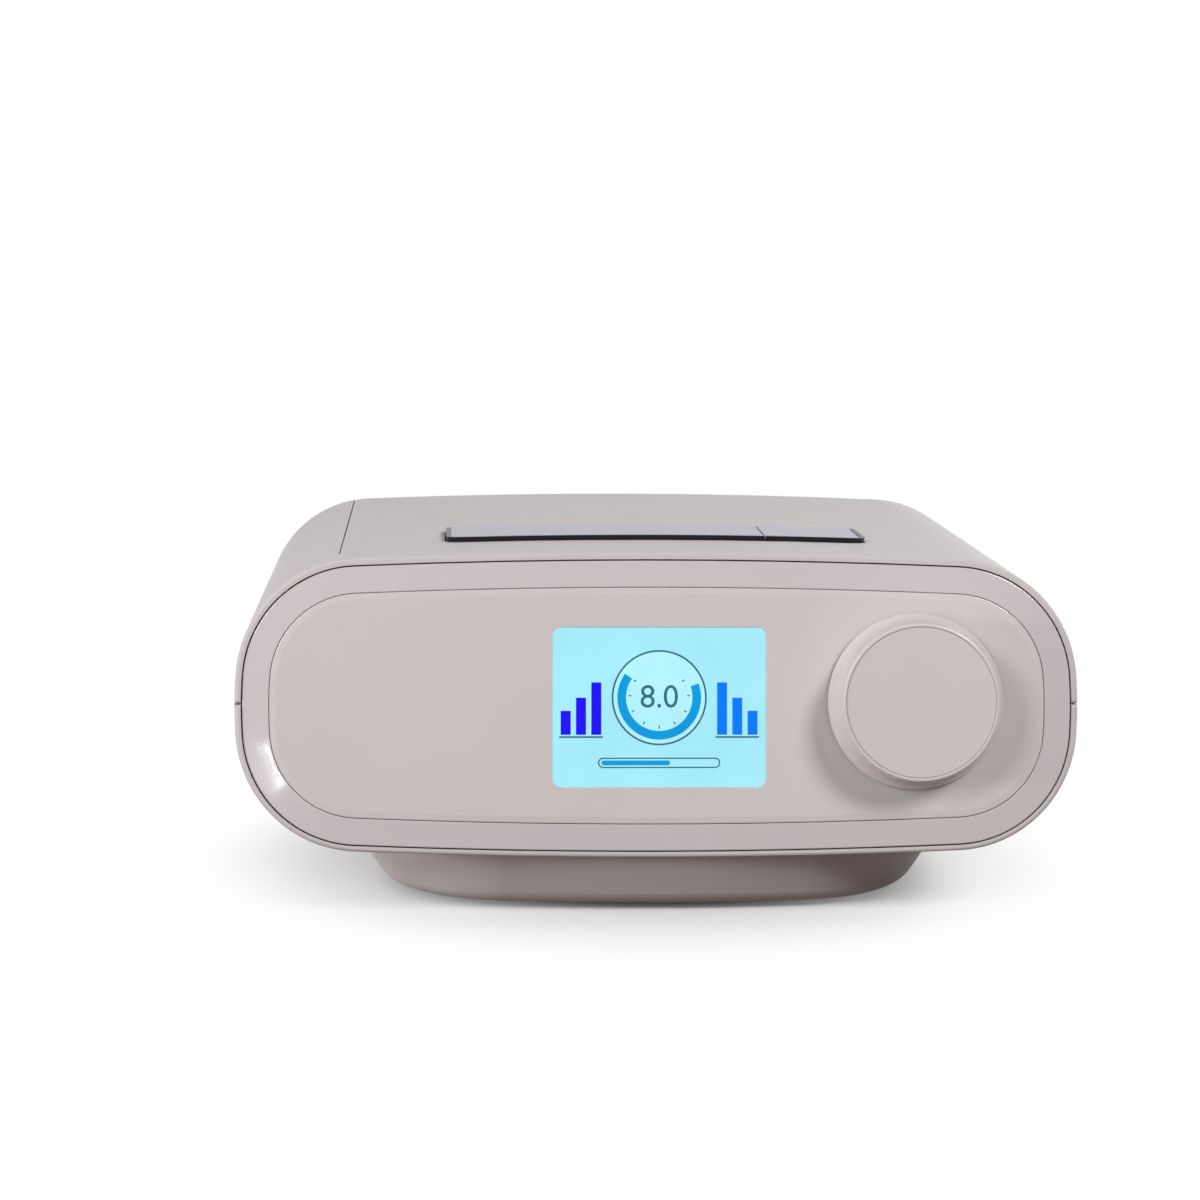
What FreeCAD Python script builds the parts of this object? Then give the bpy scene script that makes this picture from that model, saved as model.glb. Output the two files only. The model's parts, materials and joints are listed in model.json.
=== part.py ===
import FreeCAD, Part
import math
import os
import re

import Sketcher

# Bedside CPAP machine.
# Frame: X to the user's right, Y from the leaning front towards the rear, Z up.
# The origin lies on the table, at the middle of the machine's footprint.

V = FreeCAD.Vector
os.makedirs("parts", exist_ok=True)
doc = FreeCAD.newDocument("CpapMachine")

# ---------------------------------------------------------------- sizes (mm, degrees)
# A number is a driving size; a text that starts with "=" follows from the others.
SIZES = [
    # casing
    ("case_width", 193.0), ("case_height", 69.1), ("case_depth", 145.0), ("case_front_y", -66.5),
    ("foot_height", 14.9), ("crown_radius", 1640.0), ("side_radius", 103.0), ("corner_radius", 28.2),
    ("lean", 8.0), ("wall", 2.2), ("rear_round", 6.0), ("part_gap", 0.3), ("rim_round", 0.8),
    ("half_width", "=case_width / 2"), ("half_height", "=case_height / 2"),
    ("top_z", "=foot_height + case_height"), ("parting_z", "=foot_height + half_height"),
    ("rear_y", "=case_front_y + case_depth"), ("top_front_y", "=case_front_y + half_height * tan(lean)"),
    # foot, measured along its underside
    ("foot_half_width", "=half_width - 34"), ("foot_front", 6.3), ("foot_rear", 18.5),
    ("foot_corner", 30.8), ("foot_bow", 316.0), ("foot_taper", 32.7), ("foot_wall", 2.2),
    ("foot_lift", 1.35), ("foot_round", 7.0), ("foot_floor", "=foot_lift + foot_wall"),
    ("pad_radius", 6.5), ("pad_sink", 0.9), ("rib_reach", 33.0), ("rib_length", 48.0),
    ("rib_height", 5.0), ("rib_thick", 1.4),
    # front ring and panel
    ("rim", 1.6), ("rim_set_back", 0.7), ("seam", 0.3), ("bezel_width", 6.2), ("bezel_depth", 4.6),
    ("bezel_ledge", 3.2),
    ("ring_outer", "=rim + seam / 2"), ("ring_inner", "=rim + bezel_width"),
    ("panel_thick", 3.0), ("panel_seam", 0.12), ("slope", 7.0), ("panel_slope_width", 1.5),
    ("panel_drop", "=panel_slope_width * tan(slope)"), ("ring_slope_width", 5.8),
    ("ring_drop", "=ring_slope_width * tan(slope)"), ("front_round", 0.3),
    # screen
    ("window_width", 48.9), ("window_height", 36.5), ("window_corner", 2.3), ("window_x", 0.3),
    ("window_up", -0.4), ("window_thick", 1.5), ("window_ledge", 1.6), ("fit_gap", 0.1),
    ("module_width", 53.0), ("module_height", 39.0), ("module_thick", 3.9), ("module_sink", 0.6),
    ("front_board_left", 34.0), ("front_board_right", "=dial_x + 12.2"), ("front_board_up", 19.6),
    ("front_board_back", 11.2), ("board_thick", 1.6), ("post_radius", 2.8), ("screw_radius", 1.1),
    ("screw_head", 2.0), ("screw_head_height", 1.5), ("screw_grip", 3.5),
    # dial
    ("dial_x", "=half_width - 37.7"), ("dial_up", 1.0), ("dial_face_radius", 17.8),
    ("dial_base_radius", 20.1), ("dial_height", 10.0), ("dial_wall", 1.8), ("dial_rim", 0.75),
    ("dial_lip", "=dial_face_radius - dial_rim"), ("dial_float", 0.95), ("dial_skirt_radius", 18.6),
    ("well_gap", 0.5), ("well_depth", 2.7), ("well_floor", 1.5),
    ("well_radius", "=dial_skirt_radius + well_gap"), ("dial_sink", 1.4),
    ("shaft_radius", 3.0), ("shaft_foot", "=2.2 - front_board_back"), ("bush_radius", 4.2),
    ("encoder_size", 12.4), ("run_gap", 0.05),
    # top buttons
    ("button_left", 48.4), ("button_right", 51.2), ("button_split", 27.2), ("button_back", 25.7),
    ("button_depth", 23.9), ("button_gap", 0.3), ("split_gap", 0.5), ("button_proud", 1.0),
    ("trim_proud", 1.15),
    ("button_corner", 3.0), ("button_plate", 3.6), ("button_flange", 1.1), ("trim_width", 1.1),
    ("trim_deep", 3.0), ("stem_radius", 2.4), ("button_front_y", "=top_front_y + button_back"),
    ("button_rear_y", "=button_front_y + button_depth"),
    ("button_mid_y", "=button_front_y + button_depth / 2"), ("frame_drop", 6.0), ("frame_wall", 1.2),
    # boards and card
    ("board_z", "=top_z - 11"), ("board_top", "=board_z + board_thick"),
    ("board_left", "=bay_inner_x - 2.5"), ("board_right", "=half_width - 22.5"),
    ("board_front", "=-case_front_y - 23.5"), ("board_rear", "=rear_y - 38.5"),
    ("keypad_top", "=board_top + 3.3"), ("keypad_skirt", 0.8), ("card_width", 24.0),
    ("card_length", 32.0), ("card_thick", 2.1), ("card_bevel", 3.5), ("card_y", -29.5),
    ("socket_x", "=0.4 + bay_wall - bay_inner_x"), ("socket_length", 27.0),
    # side door
    ("door_reach", 23.5), ("door_seam_x", "=half_width - door_reach"), ("door_front", 12.0),
    ("door_rear", 4.5), ("door_front_y", "=top_front_y + door_front"),
    ("door_rear_y", "=rear_y - door_rear"), ("door_wall", 2.0), ("door_gap", 0.25),
    ("pin_radius", 1.0), ("barrel_radius", 2.3), ("hinge_x", "=-door_seam_x - door_gap - barrel_radius"),
    ("lug_length", 3.0), ("swing_room", 0.4), ("slot_width", 2.0), ("slot_length", 13.0), ("slot_pitch", 5.0),
    ("slot_count", 12.0), ("slot_first", 22.0), ("scoop_length", 16.0), ("scoop_radius", 3.0),
    # filter bay
    ("bay_inner_x", "=door_seam_x - 13"), ("bay_wall", 1.8), ("bay_front_y", "=door_front_y + 0.3"),
    ("bay_rear_y", "=rear_y - 14.5"), ("bay_low_z", "=parting_z + part_gap + 0.9"),
    ("bay_floor_z", "=bay_low_z + bay_wall"), ("bay_top_z", "=top_z - 6"), ("filter_length", 62.0),
    ("filter_thick", 6.0), ("filter_top_z", "=board_top - 0.65"), ("ledge", 1.2),
    # blower
    ("blower_x", "=half_width - 70.5"), ("blower_y", 0.0), ("blower_z", 36.0), ("scroll_start", 28.0),
    ("scroll_step", 3.2), ("scroll_height", 16.8), ("scroll_wall", 1.6), ("duct_width", 16.0),
    ("duct_end", 35.0), ("scroll_floor", "=blower_z + scroll_wall"),
    ("scroll_top", "=scroll_floor + scroll_height"), ("eye_radius", 12.0), ("impeller_radius", 24.0),
    ("impeller_height", 11.6), ("impeller_lift", 1.6), ("hub_radius", 4.5), ("blade_count", 11.0),
    ("blade_thick", 1.0), ("blade_bend", 19.0), ("blade_sweep", 52.0), ("axle_radius", 1.5),
    ("bearing_radius", 4.0), ("bearing_height", 3.0), ("can_radius", 13.0), ("can_height", 23.0),
    ("can_low", "=blower_z - can_height"), ("can_wall", 1.0), ("can_floor", "=can_low + 1.2"),
    ("coil_low", "=can_floor + bearing_height + 1"), ("coil_top", "=blower_z - bearing_height - 1.4"),
    ("magnet_radius", 6.0), ("coil_gap", 0.6), ("coil_slots", 9.0), ("mount_radius", 4.5),
    ("mount_height", 8.0), ("mount_low", "=blower_z - mount_height"), ("ear_reach", 44.0),
    ("ear_radius", 4.6), ("ear_thick", 2.4),
    # air path
    ("intake_width", 36.0), ("intake_height", 10.0), ("intake_wall", 1.4),
    ("intake_z", "=scroll_top + scroll_wall + 2.6"), ("intake_top", "=intake_z + intake_height"),
    ("outlet_radius", 11.0), ("outlet_bore", 8.6), ("outlet_length", 19.0), ("recess_radius", 15.0),
    ("outlet_wall", 1.6), ("outlet_flange", 2.0), ("spigot_radius", 10.0), ("spigot_length", 8.0),
    ("boot_wall", 1.6), ("outlet_x", "=blower_x + scroll_start + scroll_step * 3.5 - duct_width / 2"),
    ("outlet_z", "=scroll_floor + scroll_height / 2"), ("outlet_tip", "=rear_y - 1"),
    ("outlet_seat", "=outlet_tip - outlet_length"),
    # rear fittings
    ("jack_x", -20.0), ("jack_z", 34.0), ("jack_bore", 3.75), ("jack_wall", 2.6), ("jack_pin", 0.9),
    ("jack_depth", 12.0), ("jack_body", 7.0), ("cover_x", -33.0), ("cover_z", "=parting_z + 13.55"),
    ("cover_width", 44.0), ("cover_height", 20.0), ("cover_corner", 2.5), ("cover_flange", 1.6),
    # screws
    ("column_radius", 4.2), ("column_left", "=door_seam_x - 30"), ("column_right", "=half_width - 19.5"),
    ("column_front", "=case_front_y + 18.5"), ("column_rear", "=rear_y - 30.5"),
    ("head_radius", 3.0), ("head_seat", "=foot_height + 12"), ("head_height", 2.2),
    ("drive_radius", 1.2), ("thread_radius", 1.5), ("thread_end", "=parting_z + 10"),
]

sheet = doc.addObject("Spreadsheet::Sheet", "Sizes")
for row, (alias, value) in enumerate(SIZES, start=1):
    sheet.set(f"A{row}", alias)
    sheet.set(f"B{row}", str(value))
    sheet.setAlias(f"B{row}", alias)
doc.recompute()

FUNCTIONS = {"sin", "cos", "tan", "sqrt", "min", "max", "deg"}


def mm(text):
    """The value of a size expression."""
    return float(sheet.evalExpression(str(text)))


def bound(text):
    """The same expression, as other objects of the document write it."""
    def name(match):
        word = match.group(0)
        return word if word in FUNCTIONS else "Sizes." + word
    return re.sub(r"[a-z][a-z_]+", name, str(text))


# ---------------------------------------------------------------- the casing's form
def corner_centre(half_w, half_h):
    """Centre of the corner arc that is tangent to the crown arc and to the side arc."""
    crown, side, corner = mm("crown_radius"), mm("side_radius"), mm("corner_radius")
    ax, ay, ar = 0.0, half_h - crown, crown - corner
    bx, by, br = half_w - side, 0.0, side - corner
    gap = math.hypot(bx - ax, by - ay)
    along = (ar ** 2 - br ** 2 + gap ** 2) / (2 * gap)
    off = math.sqrt(ar ** 2 - along ** 2)
    ux, uy = (bx - ax) / gap, (by - ay) / gap
    return ax + along * ux + off * uy, ay + along * uy - off * ux


def skin_height(x, inset=0.0):
    """Height of the casing's top skin, or of an inset of it, at a distance x from the middle."""
    half_w, half_h = mm("half_width"), mm("half_height")
    cx, cy = corner_centre(half_w, half_h)
    if abs(x) <= cx:
        return mm("top_z") - crown_drop(x) - inset
    return mm("parting_z") + cy + math.sqrt((mm("corner_radius") - inset) ** 2 - (abs(x) - cx) ** 2)


def crown_drop(x):
    """How far the crowned top lies below its middle at a distance x from the middle."""
    radius = mm("crown_radius")
    return radius - math.sqrt(radius ** 2 - x ** 2)


# ---------------------------------------------------------------- loops that sketches are made of
def circle(cx, cy, radius):
    def draw(sketch):
        at = sketch.addGeometry(Part.Circle(V(mm(cx), mm(cy), 0), V(0, 0, 1), mm(radius)))
        for kind, text in (("Radius", radius), ("DistanceX", cx), ("DistanceY", cy)):
            ends = (at,) if kind == "Radius" else (-1, 1, at, 3)
            index = sketch.addConstraint(Sketcher.Constraint(kind, *ends, mm(text)))
            sketch.setExpression(f"Constraints[{index}]", bound(text))
    return draw


def rect(x0, y0, x1, y1):
    def draw(sketch):
        a, b = V(mm(x0), mm(y0), 0), V(mm(x1), mm(y1), 0)
        corners = [a, V(b.x, a.y, 0), b, V(a.x, b.y, 0)]
        first = sketch.GeometryCount
        for i in range(4):
            sketch.addGeometry(Part.LineSegment(corners[i], corners[(i + 1) % 4]))
        for i in range(4):
            sketch.addConstraint(Sketcher.Constraint("Coincident", first + i, 2, first + (i + 1) % 4, 1))
            kind = "Vertical" if i % 2 else "Horizontal"
            sketch.addConstraint(Sketcher.Constraint(kind, first + i))
        for line, kind, text in ((0, "DistanceX", x0), (0, "DistanceY", y0),
                                 (2, "DistanceX", x1), (2, "DistanceY", y1)):
            ends = (-1, 1, first + line, 1)
            index = sketch.addConstraint(Sketcher.Constraint(kind, *ends, mm(text)))
            sketch.setExpression(f"Constraints[{index}]", bound(text))
    return draw


def path(*points):
    """Closed outline of straight runs; a point with four values ends an arc through its first two."""
    def draw(sketch):
        values = [[mm(value) for value in point] for point in points]
        last = V(*values[0], 0)
        for value in values[1:] + [values[0]]:
            end = V(value[-2], value[-1], 0)
            if len(value) == 4:
                sketch.addGeometry(Part.Arc(last, V(value[0], value[1], 0), end))
            elif end.distanceToPoint(last) > 1e-6:
                sketch.addGeometry(Part.LineSegment(last, end))
            last = end
    return draw


def round_rect(x0, y0, x1, y1, radius):
    def draw(sketch):
        a, b, c, d, r = (mm(text) for text in (x0, y0, x1, y1, radius))
        k = r * (1 - math.sqrt(0.5))
        path((a + r, b), (c - r, b), (c - k, b + k, c, b + r), (c, d - r), (c - k, d - k, c - r, d),
             (a + r, d), (a + k, d - k, a, d - r), (a, b + r), (a + k, b + k, a + r, b))(sketch)
    return draw


def slot(ax, ay, bx, by, radius):
    """Outline of constant width about the line from one point to the other."""
    def draw(sketch):
        p, q, r = V(mm(ax), mm(ay), 0), V(mm(bx), mm(by), 0), mm(radius)
        along = (q - p).normalize() * r
        side = V(-along.y, along.x, 0)
        marks = [p + side, p - along, p - side, q - side, q + along, q + side]
        path((marks[5].x, marks[5].y), (marks[0].x, marks[0].y),
             (marks[1].x, marks[1].y, marks[2].x, marks[2].y),
             (marks[3].x, marks[3].y), (marks[4].x, marks[4].y, marks[5].x, marks[5].y))(sketch)
    return draw


def outline(inset, leaning=False):
    """The casing's rounded outline: crowned top and bottom, full sides and tangent corner arcs."""
    def draw(sketch):
        half_w, half_h, less = mm("half_width"), mm("half_height"), mm(inset)
        up = 0.0 if leaning else mm("parting_z")
        if leaning:
            half_h /= math.cos(math.radians(mm("lean")))
        cx, cy = corner_centre(half_w, half_h)
        crown = (0.0, half_h - mm("crown_radius"), mm("crown_radius") - less)
        side = (half_w - mm("side_radius"), 0.0, mm("side_radius") - less)
        top = math.atan2(cy - crown[1], cx)
        flank = math.atan2(cy, cx - side[0])
        half_turn = math.pi
        arcs = [(crown[0], crown[1], crown[2], top, half_turn - top),
                (-side[0], 0.0, side[2], half_turn - flank, half_turn + flank),
                (crown[0], -crown[1], crown[2], half_turn + top, 2 * half_turn - top),
                (side[0], 0.0, side[2], -flank, flank)]
        corner = mm("corner_radius") - less
        arcs += [(cx, cy, corner, flank, top), (-cx, cy, corner, half_turn - top, half_turn - flank),
                 (-cx, -cy, corner, half_turn + flank, half_turn + top),
                 (cx, -cy, corner, -top, -flank)]
        for x, y, radius, start, end in arcs:
            ring = Part.Circle(V(x, y + up, 0), V(0, 0, 1), radius)
            sketch.addGeometry(Part.ArcOfCircle(ring, start, end))
    return draw


def above_crown(offset):
    """Everything above the casing's crowned top, raised by an offset."""
    def draw(sketch):
        reach = mm("half_width") * 0.7
        top = mm("top_z") + mm(offset)
        edge = top - crown_drop(reach)
        high = top + 20
        path((-reach, edge), (0.0, top, reach, edge), (reach, high), (-reach, high))(sketch)
    return draw


def foot_corners():
    """Radius of the foot's corners, and the Y of the front and rear ones' centres."""
    corner, bow = mm("foot_corner"), mm("foot_bow")
    drop = math.sqrt((bow - corner) ** 2 - mm("foot_half_width - foot_corner") ** 2)
    return corner, mm("case_front_y + foot_front") + bow - drop, mm("rear_y - foot_rear") - corner


def foot_plan(grow):
    """Plan of the foot at its underside: a bowed front, large corner arcs and a straight rear."""
    def draw(sketch):
        more = mm(grow)
        corner, front_y, rear_y = foot_corners()
        x, front = mm("foot_half_width") - corner, mm("case_front_y + foot_front")
        bow_y = front + mm("foot_bow")
        start = math.atan2(front_y - bow_y, x)
        r, bow = corner + more, mm("foot_bow") + more
        meet = (bow * math.cos(start), bow_y + bow * math.sin(start))
        mid = (x + r * math.cos(start / 2), front_y + r * math.sin(start / 2))
        far = (x + r * math.sqrt(0.5), rear_y + r * math.sqrt(0.5))
        path((-meet[0], meet[1]), (0, front - more, *meet), (*mid, x + r, front_y), (x + r, rear_y),
             (*far, x, rear_y + r), (-x, rear_y + r), (-far[0], far[1], -x - r, rear_y),
             (-x - r, front_y), (-mid[0], mid[1], -meet[0], meet[1]))(sketch)
    return draw


# ---------------------------------------------------------------- pieces
ROLES = {"XY": "XY_Plane", "XZ": "XZ_Plane", "YZ": "YZ_Plane", "FACE": "XZ_Plane"}
pieces = []


class Piece:
    """One separate piece of the machine: a body with its own sketches and features."""

    def __init__(self, label, at=None, leaning=False):
        self.body = doc.addObject("PartDesign::Body", "Body")
        self.body.Label = label
        if leaning:
            tilt = FreeCAD.Rotation(V(1, 0, 0), 90 - mm("lean"))
            self.body.Placement = FreeCAD.Placement(V(0, 0, 0), tilt)
        for axis, text in zip("xyz", at or ()):
            self.body.setExpression(".Placement.Base." + axis, bound(text))
        pieces.append(self.body)

    def sketch(self, plane, at, loops, shift=("0", "0")):
        """A sketch on an origin plane, moved to a place along the plane's own direction."""
        sketch = self.body.newObject("Sketcher::SketchObject", "Sketch")
        role = ROLES[plane]
        origin = [item for item in self.body.Origin.OriginFeatures if item.Role == role][0]
        sketch.AttachmentSupport = [(origin, "")]
        sketch.MapMode = "FlatFace"
        base = [shift[0], shift[1], at]
        if plane == "XZ":
            base[2] = f"-({at})"
        if plane == "FACE":
            tilt = FreeCAD.Rotation(V(1, 0, 0), -mm("lean"))
            sketch.AttachmentOffset = FreeCAD.Placement(V(0, 0, 0), tilt)
            base = ["0", f"parting_z + ({at}) * sin(lean)", f"-case_front_y + ({at}) * cos(lean)"]
        for axis, text in zip("xyz", base):
            sketch.setExpression(".AttachmentOffset.Base." + axis, bound(text))
        for loop in loops:
            loop(sketch)
        return sketch

    def extrude(self, kind, plane, start, end, loops, taper=None):
        adding = kind == "PartDesign::Pad"
        flip = plane == "XZ"
        at = start if adding != flip else end
        sketch = self.sketch(plane, at, loops)
        feature = self.body.newObject(kind, kind.split("::")[1])
        feature.Profile = sketch
        feature.setExpression("Length", bound(f"({end}) - ({start})"))
        if taper:
            feature.setExpression("TaperAngle", bound(taper))
        self.settle(feature, adding)
        return feature

    def pad(self, plane, start, end, *loops, taper=None):
        return self.extrude("PartDesign::Pad", plane, start, end, loops, taper)

    def pocket(self, plane, start, end, *loops, taper=None):
        return self.extrude("PartDesign::Pocket", plane, start, end, loops, taper)

    def turn(self, *loops, plane="XZ", at="0", shift=("0", "0"), axis="V_Axis", groove=False):
        """A full turn of a profile about its sketch's own axis."""
        sketch = self.sketch(plane, at, loops, shift)
        kind = "PartDesign::Groove" if groove else "PartDesign::Revolution"
        feature = self.body.newObject(kind, kind.split("::")[1])
        feature.Profile = sketch
        feature.ReferenceAxis = (sketch, [axis])
        feature.Angle = 360.0
        self.settle(feature, not groove)
        return feature

    def around(self, feature, count):
        """Copies of a feature, evenly spaced about the body's own Z axis."""
        pattern = self.body.newObject("PartDesign::PolarPattern", "PolarPattern")
        pattern.Originals = [feature]
        axis = [item for item in self.body.Origin.OriginFeatures if item.Role == "Z_Axis"][0]
        pattern.Axis = (axis, [""])
        pattern.Angle = 360.0
        pattern.setExpression("Occurrences", bound(count))
        self.body.Tip = pattern
        doc.recompute()

    def along(self, feature, role, length, count):
        """Copies of a feature in a straight row along one of the body's axes."""
        pattern = self.body.newObject("PartDesign::LinearPattern", "LinearPattern")
        pattern.Originals = [feature]
        axis = [item for item in self.body.Origin.OriginFeatures if item.Role == role][0]
        pattern.Direction = (axis, [""])
        pattern.setExpression("Length", bound(length))
        pattern.setExpression("Occurrences", bound(count))
        self.body.Tip = pattern
        doc.recompute()

    def soften(self, chosen, size, kind="Fillet"):
        """Round or bevel every edge that the test picks."""
        tip = self.body.Tip
        names = [f"Edge{i}" for i, edge in enumerate(tip.Shape.Edges, start=1) if chosen(edge)]
        feature = self.body.newObject("PartDesign::" + kind, kind)
        feature.Base = (tip, names)
        feature.setExpression("Radius" if kind == "Fillet" else "Size", bound(size))
        doc.recompute()

    def slope(self, low, high, outer, inner):
        """A gentle slope of the leaning face, from one inset of its outline up to a further one."""
        ends = [self.sketch("FACE", at, [outline(inset, leaning=True)])
                for at, inset in ((low, outer), (high, inner))]
        feature = self.body.newObject("PartDesign::AdditiveLoft", "AdditiveLoft")
        feature.Profile = (ends[0], [""])
        feature.Sections = [(ends[1], [""])]
        feature.Ruled = True
        self.settle(feature, True)

    def settle(self, feature, adding):
        """Recompute, and say so when a feature changes nothing."""
        before = feature.BaseFeature.Shape.Volume if feature.BaseFeature else 0.0
        doc.recompute()
        gained = feature.Shape.Volume - before
        if gained * (1 if adding else -1) < 1e-6:
            print("no change:", self.body.Label, feature.Name, round(gained, 4))


def level(height, tolerance=0.01):
    """Test for edges that lie flat at one height of the body's own frame."""
    return lambda edge: (abs(edge.BoundBox.ZMin - height) < tolerance
                         and abs(edge.BoundBox.ZMax - height) < tolerance)


# ---------------------------------------------------------------- casing
FAR = "200"
ABOVE = "top_z + 5"
BEHIND = "rear_y + 1"


def everywhere():
    return rect(f"-{FAR}", f"-{FAR}", FAR, FAR)


def casing_skin(piece, thickness):
    """Outer skin with a rounded rear, hollowed to a wall, with the leaning front cut open."""
    ahead = "case_front_y - 14"
    piece.pad("XZ", ahead, "rear_y", outline("0"))
    piece.soften(lambda edge: abs(edge.BoundBox.YMin - mm("rear_y")) < 0.01, "rear_round")
    piece.pocket("XZ", ahead, f"rear_y - {thickness}", outline(thickness))
    piece.pocket("FACE", "-rim_set_back", "40", everywhere())


def rear_hole(piece, loop):
    piece.pocket("XZ", "rear_y - wall - 8", BEHIND, loop)


def outlet_hole():
    return circle("outlet_x", "outlet_z", "recess_radius + outlet_wall + part_gap")


def cover_plan(grow):
    half_w, half_h = f"cover_width / 2 + ({grow})", f"cover_height / 2 + ({grow})"
    return round_rect(f"cover_x - ({half_w})", f"cover_z - ({half_h})", f"cover_x + {half_w}",
                      f"cover_z + {half_h}", f"cover_corner + ({grow})")


def ring_recess(piece):
    """Step in the casing's front that the glossy ring drops into, inside a softened rim."""
    piece.pocket("FACE", "-bezel_depth", "1", outline("rim - seam / 2", leaning=True))
    piece.soften(rim_edge, "rim_round")


def rim_edge(edge):
    """Outer edge of the casing's leaning front."""
    ends = (edge.Vertexes[0], edge.Vertexes[-1])
    if any(abs(face_depth(vertex.Point) + mm("rim_set_back")) > 0.01 for vertex in ends):
        return False
    middle = edge.valueAt((edge.FirstParameter + edge.LastParameter) / 2)
    half_w, half_h, inset = mm("half_width"), mm("half_height"), mm("rim / 2")
    across, up = abs(middle.x), abs(middle.z - mm("parting_z"))
    cx, cy = corner_centre(half_w, half_h)
    if across > cx and up > cy:
        return math.hypot(across - cx, up - cy) > mm("corner_radius") - inset
    return across > half_w - inset or up > half_h - crown_drop(middle.x) - inset


def columns():
    """Places of the four casing screws."""
    return [(x, y) for x in ("-column_left", "column_right") for y in ("column_front", "column_rear")]


def column_skin(x):
    """Height of the top skin at the outer side of a screw column."""
    return skin_height(abs(mm(x)) + mm("column_radius"))


def column_start(x, y):
    """Height where a column starts: on the foot's floor, in its sloping wall or in the casing's skin."""
    beyond = beyond_foot(abs(mm(x)), mm(y)) + mm("column_radius + part_gap")
    in_slope = mm("foot_lift") + beyond / math.tan(math.radians(mm("foot_taper")))
    in_skin = 2 * mm("parting_z") - column_skin(x) + 0.2
    return str(round(min(in_skin, max(mm("foot_floor - foot_wall / 2"), in_slope)), 3))


def beyond_foot(across, y):
    """Distance of a point outside the outline of the foot's underside, or less than 0 inside it."""
    corner, front_y, rear_y = foot_corners()
    side = mm("foot_half_width - foot_corner")
    if across > side and (y < front_y or y > rear_y):
        centre_y = front_y if y < front_y else rear_y
        return math.hypot(across - side, y - centre_y) - corner
    return max(across - side, front_y - y, y - rear_y) - corner


def pad_places():
    """Places of the four rubber feet, inside the corner arcs of the foot."""
    inset = "foot_corner * 0.7"
    side = f"foot_half_width - {inset}"
    ends = (f"case_front_y + foot_front + {inset}", f"rear_y - foot_rear - {inset}")
    return [(x, y) for x in (f"-({side})", side) for y in ends]


def foot(piece):
    """Set-back foot with sloping walls, a bowed front and a rounded lower edge, open to the inside."""
    joined, opened = "foot_height + wall", "foot_height + wall + 2.5"
    piece.pad("XY", "foot_lift", joined, foot_plan("0"), taper="foot_taper")
    piece.soften(level(mm("foot_lift")), "foot_round")
    piece.pocket("XY", "foot_floor", opened, foot_plan(
        f"({opened} - foot_lift) * tan(foot_taper) - foot_wall / cos(foot_taper)"), taper="-foot_taper")
    piece.soften(level(mm("foot_floor")), "foot_round - foot_wall")
    for side in ("-rib_reach", "rib_reach"):
        half = "rib_thick / 2"
        rib = ("foot_floor - 0.5", "foot_floor + rib_height")
        piece.pad("XY", *rib, rect("-rib_length", f"{side} - {half}", "rib_length", f"{side} + {half}"))


def lower_housing():
    piece = Piece("lower_housing")
    casing_skin(piece, "wall")
    piece.pocket("XY", "parting_z", ABOVE, everywhere())
    foot(piece)
    ring_recess(piece)
    # screw columns, each with a clear hole and a deep counterbore from below
    joint = "parting_z - 2"
    for x, y in columns():
        piece.pad("XY", column_start(x, y), joint, circle(x, y, "column_radius"))
    for x, y in columns():
        piece.pocket("XY", "0", joint, circle(x, y, "thread_radius + 0.2"))
        piece.pocket("XY", "0", "head_seat", circle(x, y, "head_radius + 0.2"))
    # bosses that carry the blower's silicone mounts
    for x, y in ear_places():
        piece.pad("XY", "foot_floor - 0.5", "mount_low", circle(f"blower_x + {x}", f"blower_y + {y}", "4"))
    # seats for the rubber feet
    for x, y in pad_places():
        piece.pocket("XY", "0", "foot_lift + pad_sink", circle(x, y, "pad_radius + fit_gap"))
    rear_hole(piece, outlet_hole())
    rear_hole(piece, circle("jack_x", "jack_z", "jack_bore + jack_wall + part_gap"))
    # tongue that closes the joint from inside, along the right side and the rear
    side, back = "half_width - wall", "rear_y - wall"
    for top, gap in (("parting_z", "-0.4"), ("parting_z + 1.5", "0.15")):
        piece.pad("XY", "parting_z - 3", top, rect(f"{side} - 1.4", "-40", f"{side} - ({gap})", "60"))
        piece.pad("XY", "parting_z - 3", top, rect("-8", f"{back} - 1.4", "20", f"{back} - ({gap})"))


def main_posts():
    """Places of the four posts of the main board, clear of the card socket."""
    front, right, rear = "-board_front + 2.5", "board_right - 5", "board_rear - 4"
    return [("-26", front), (right, front), ("-board_left + 4", rear), (right, rear)]


def button_opening(grow):
    return round_rect(f"-button_left - ({grow})", f"button_front_y - ({grow})",
                      f"button_right + {grow}", f"button_rear_y + {grow}", f"button_corner + ({grow})")


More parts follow.
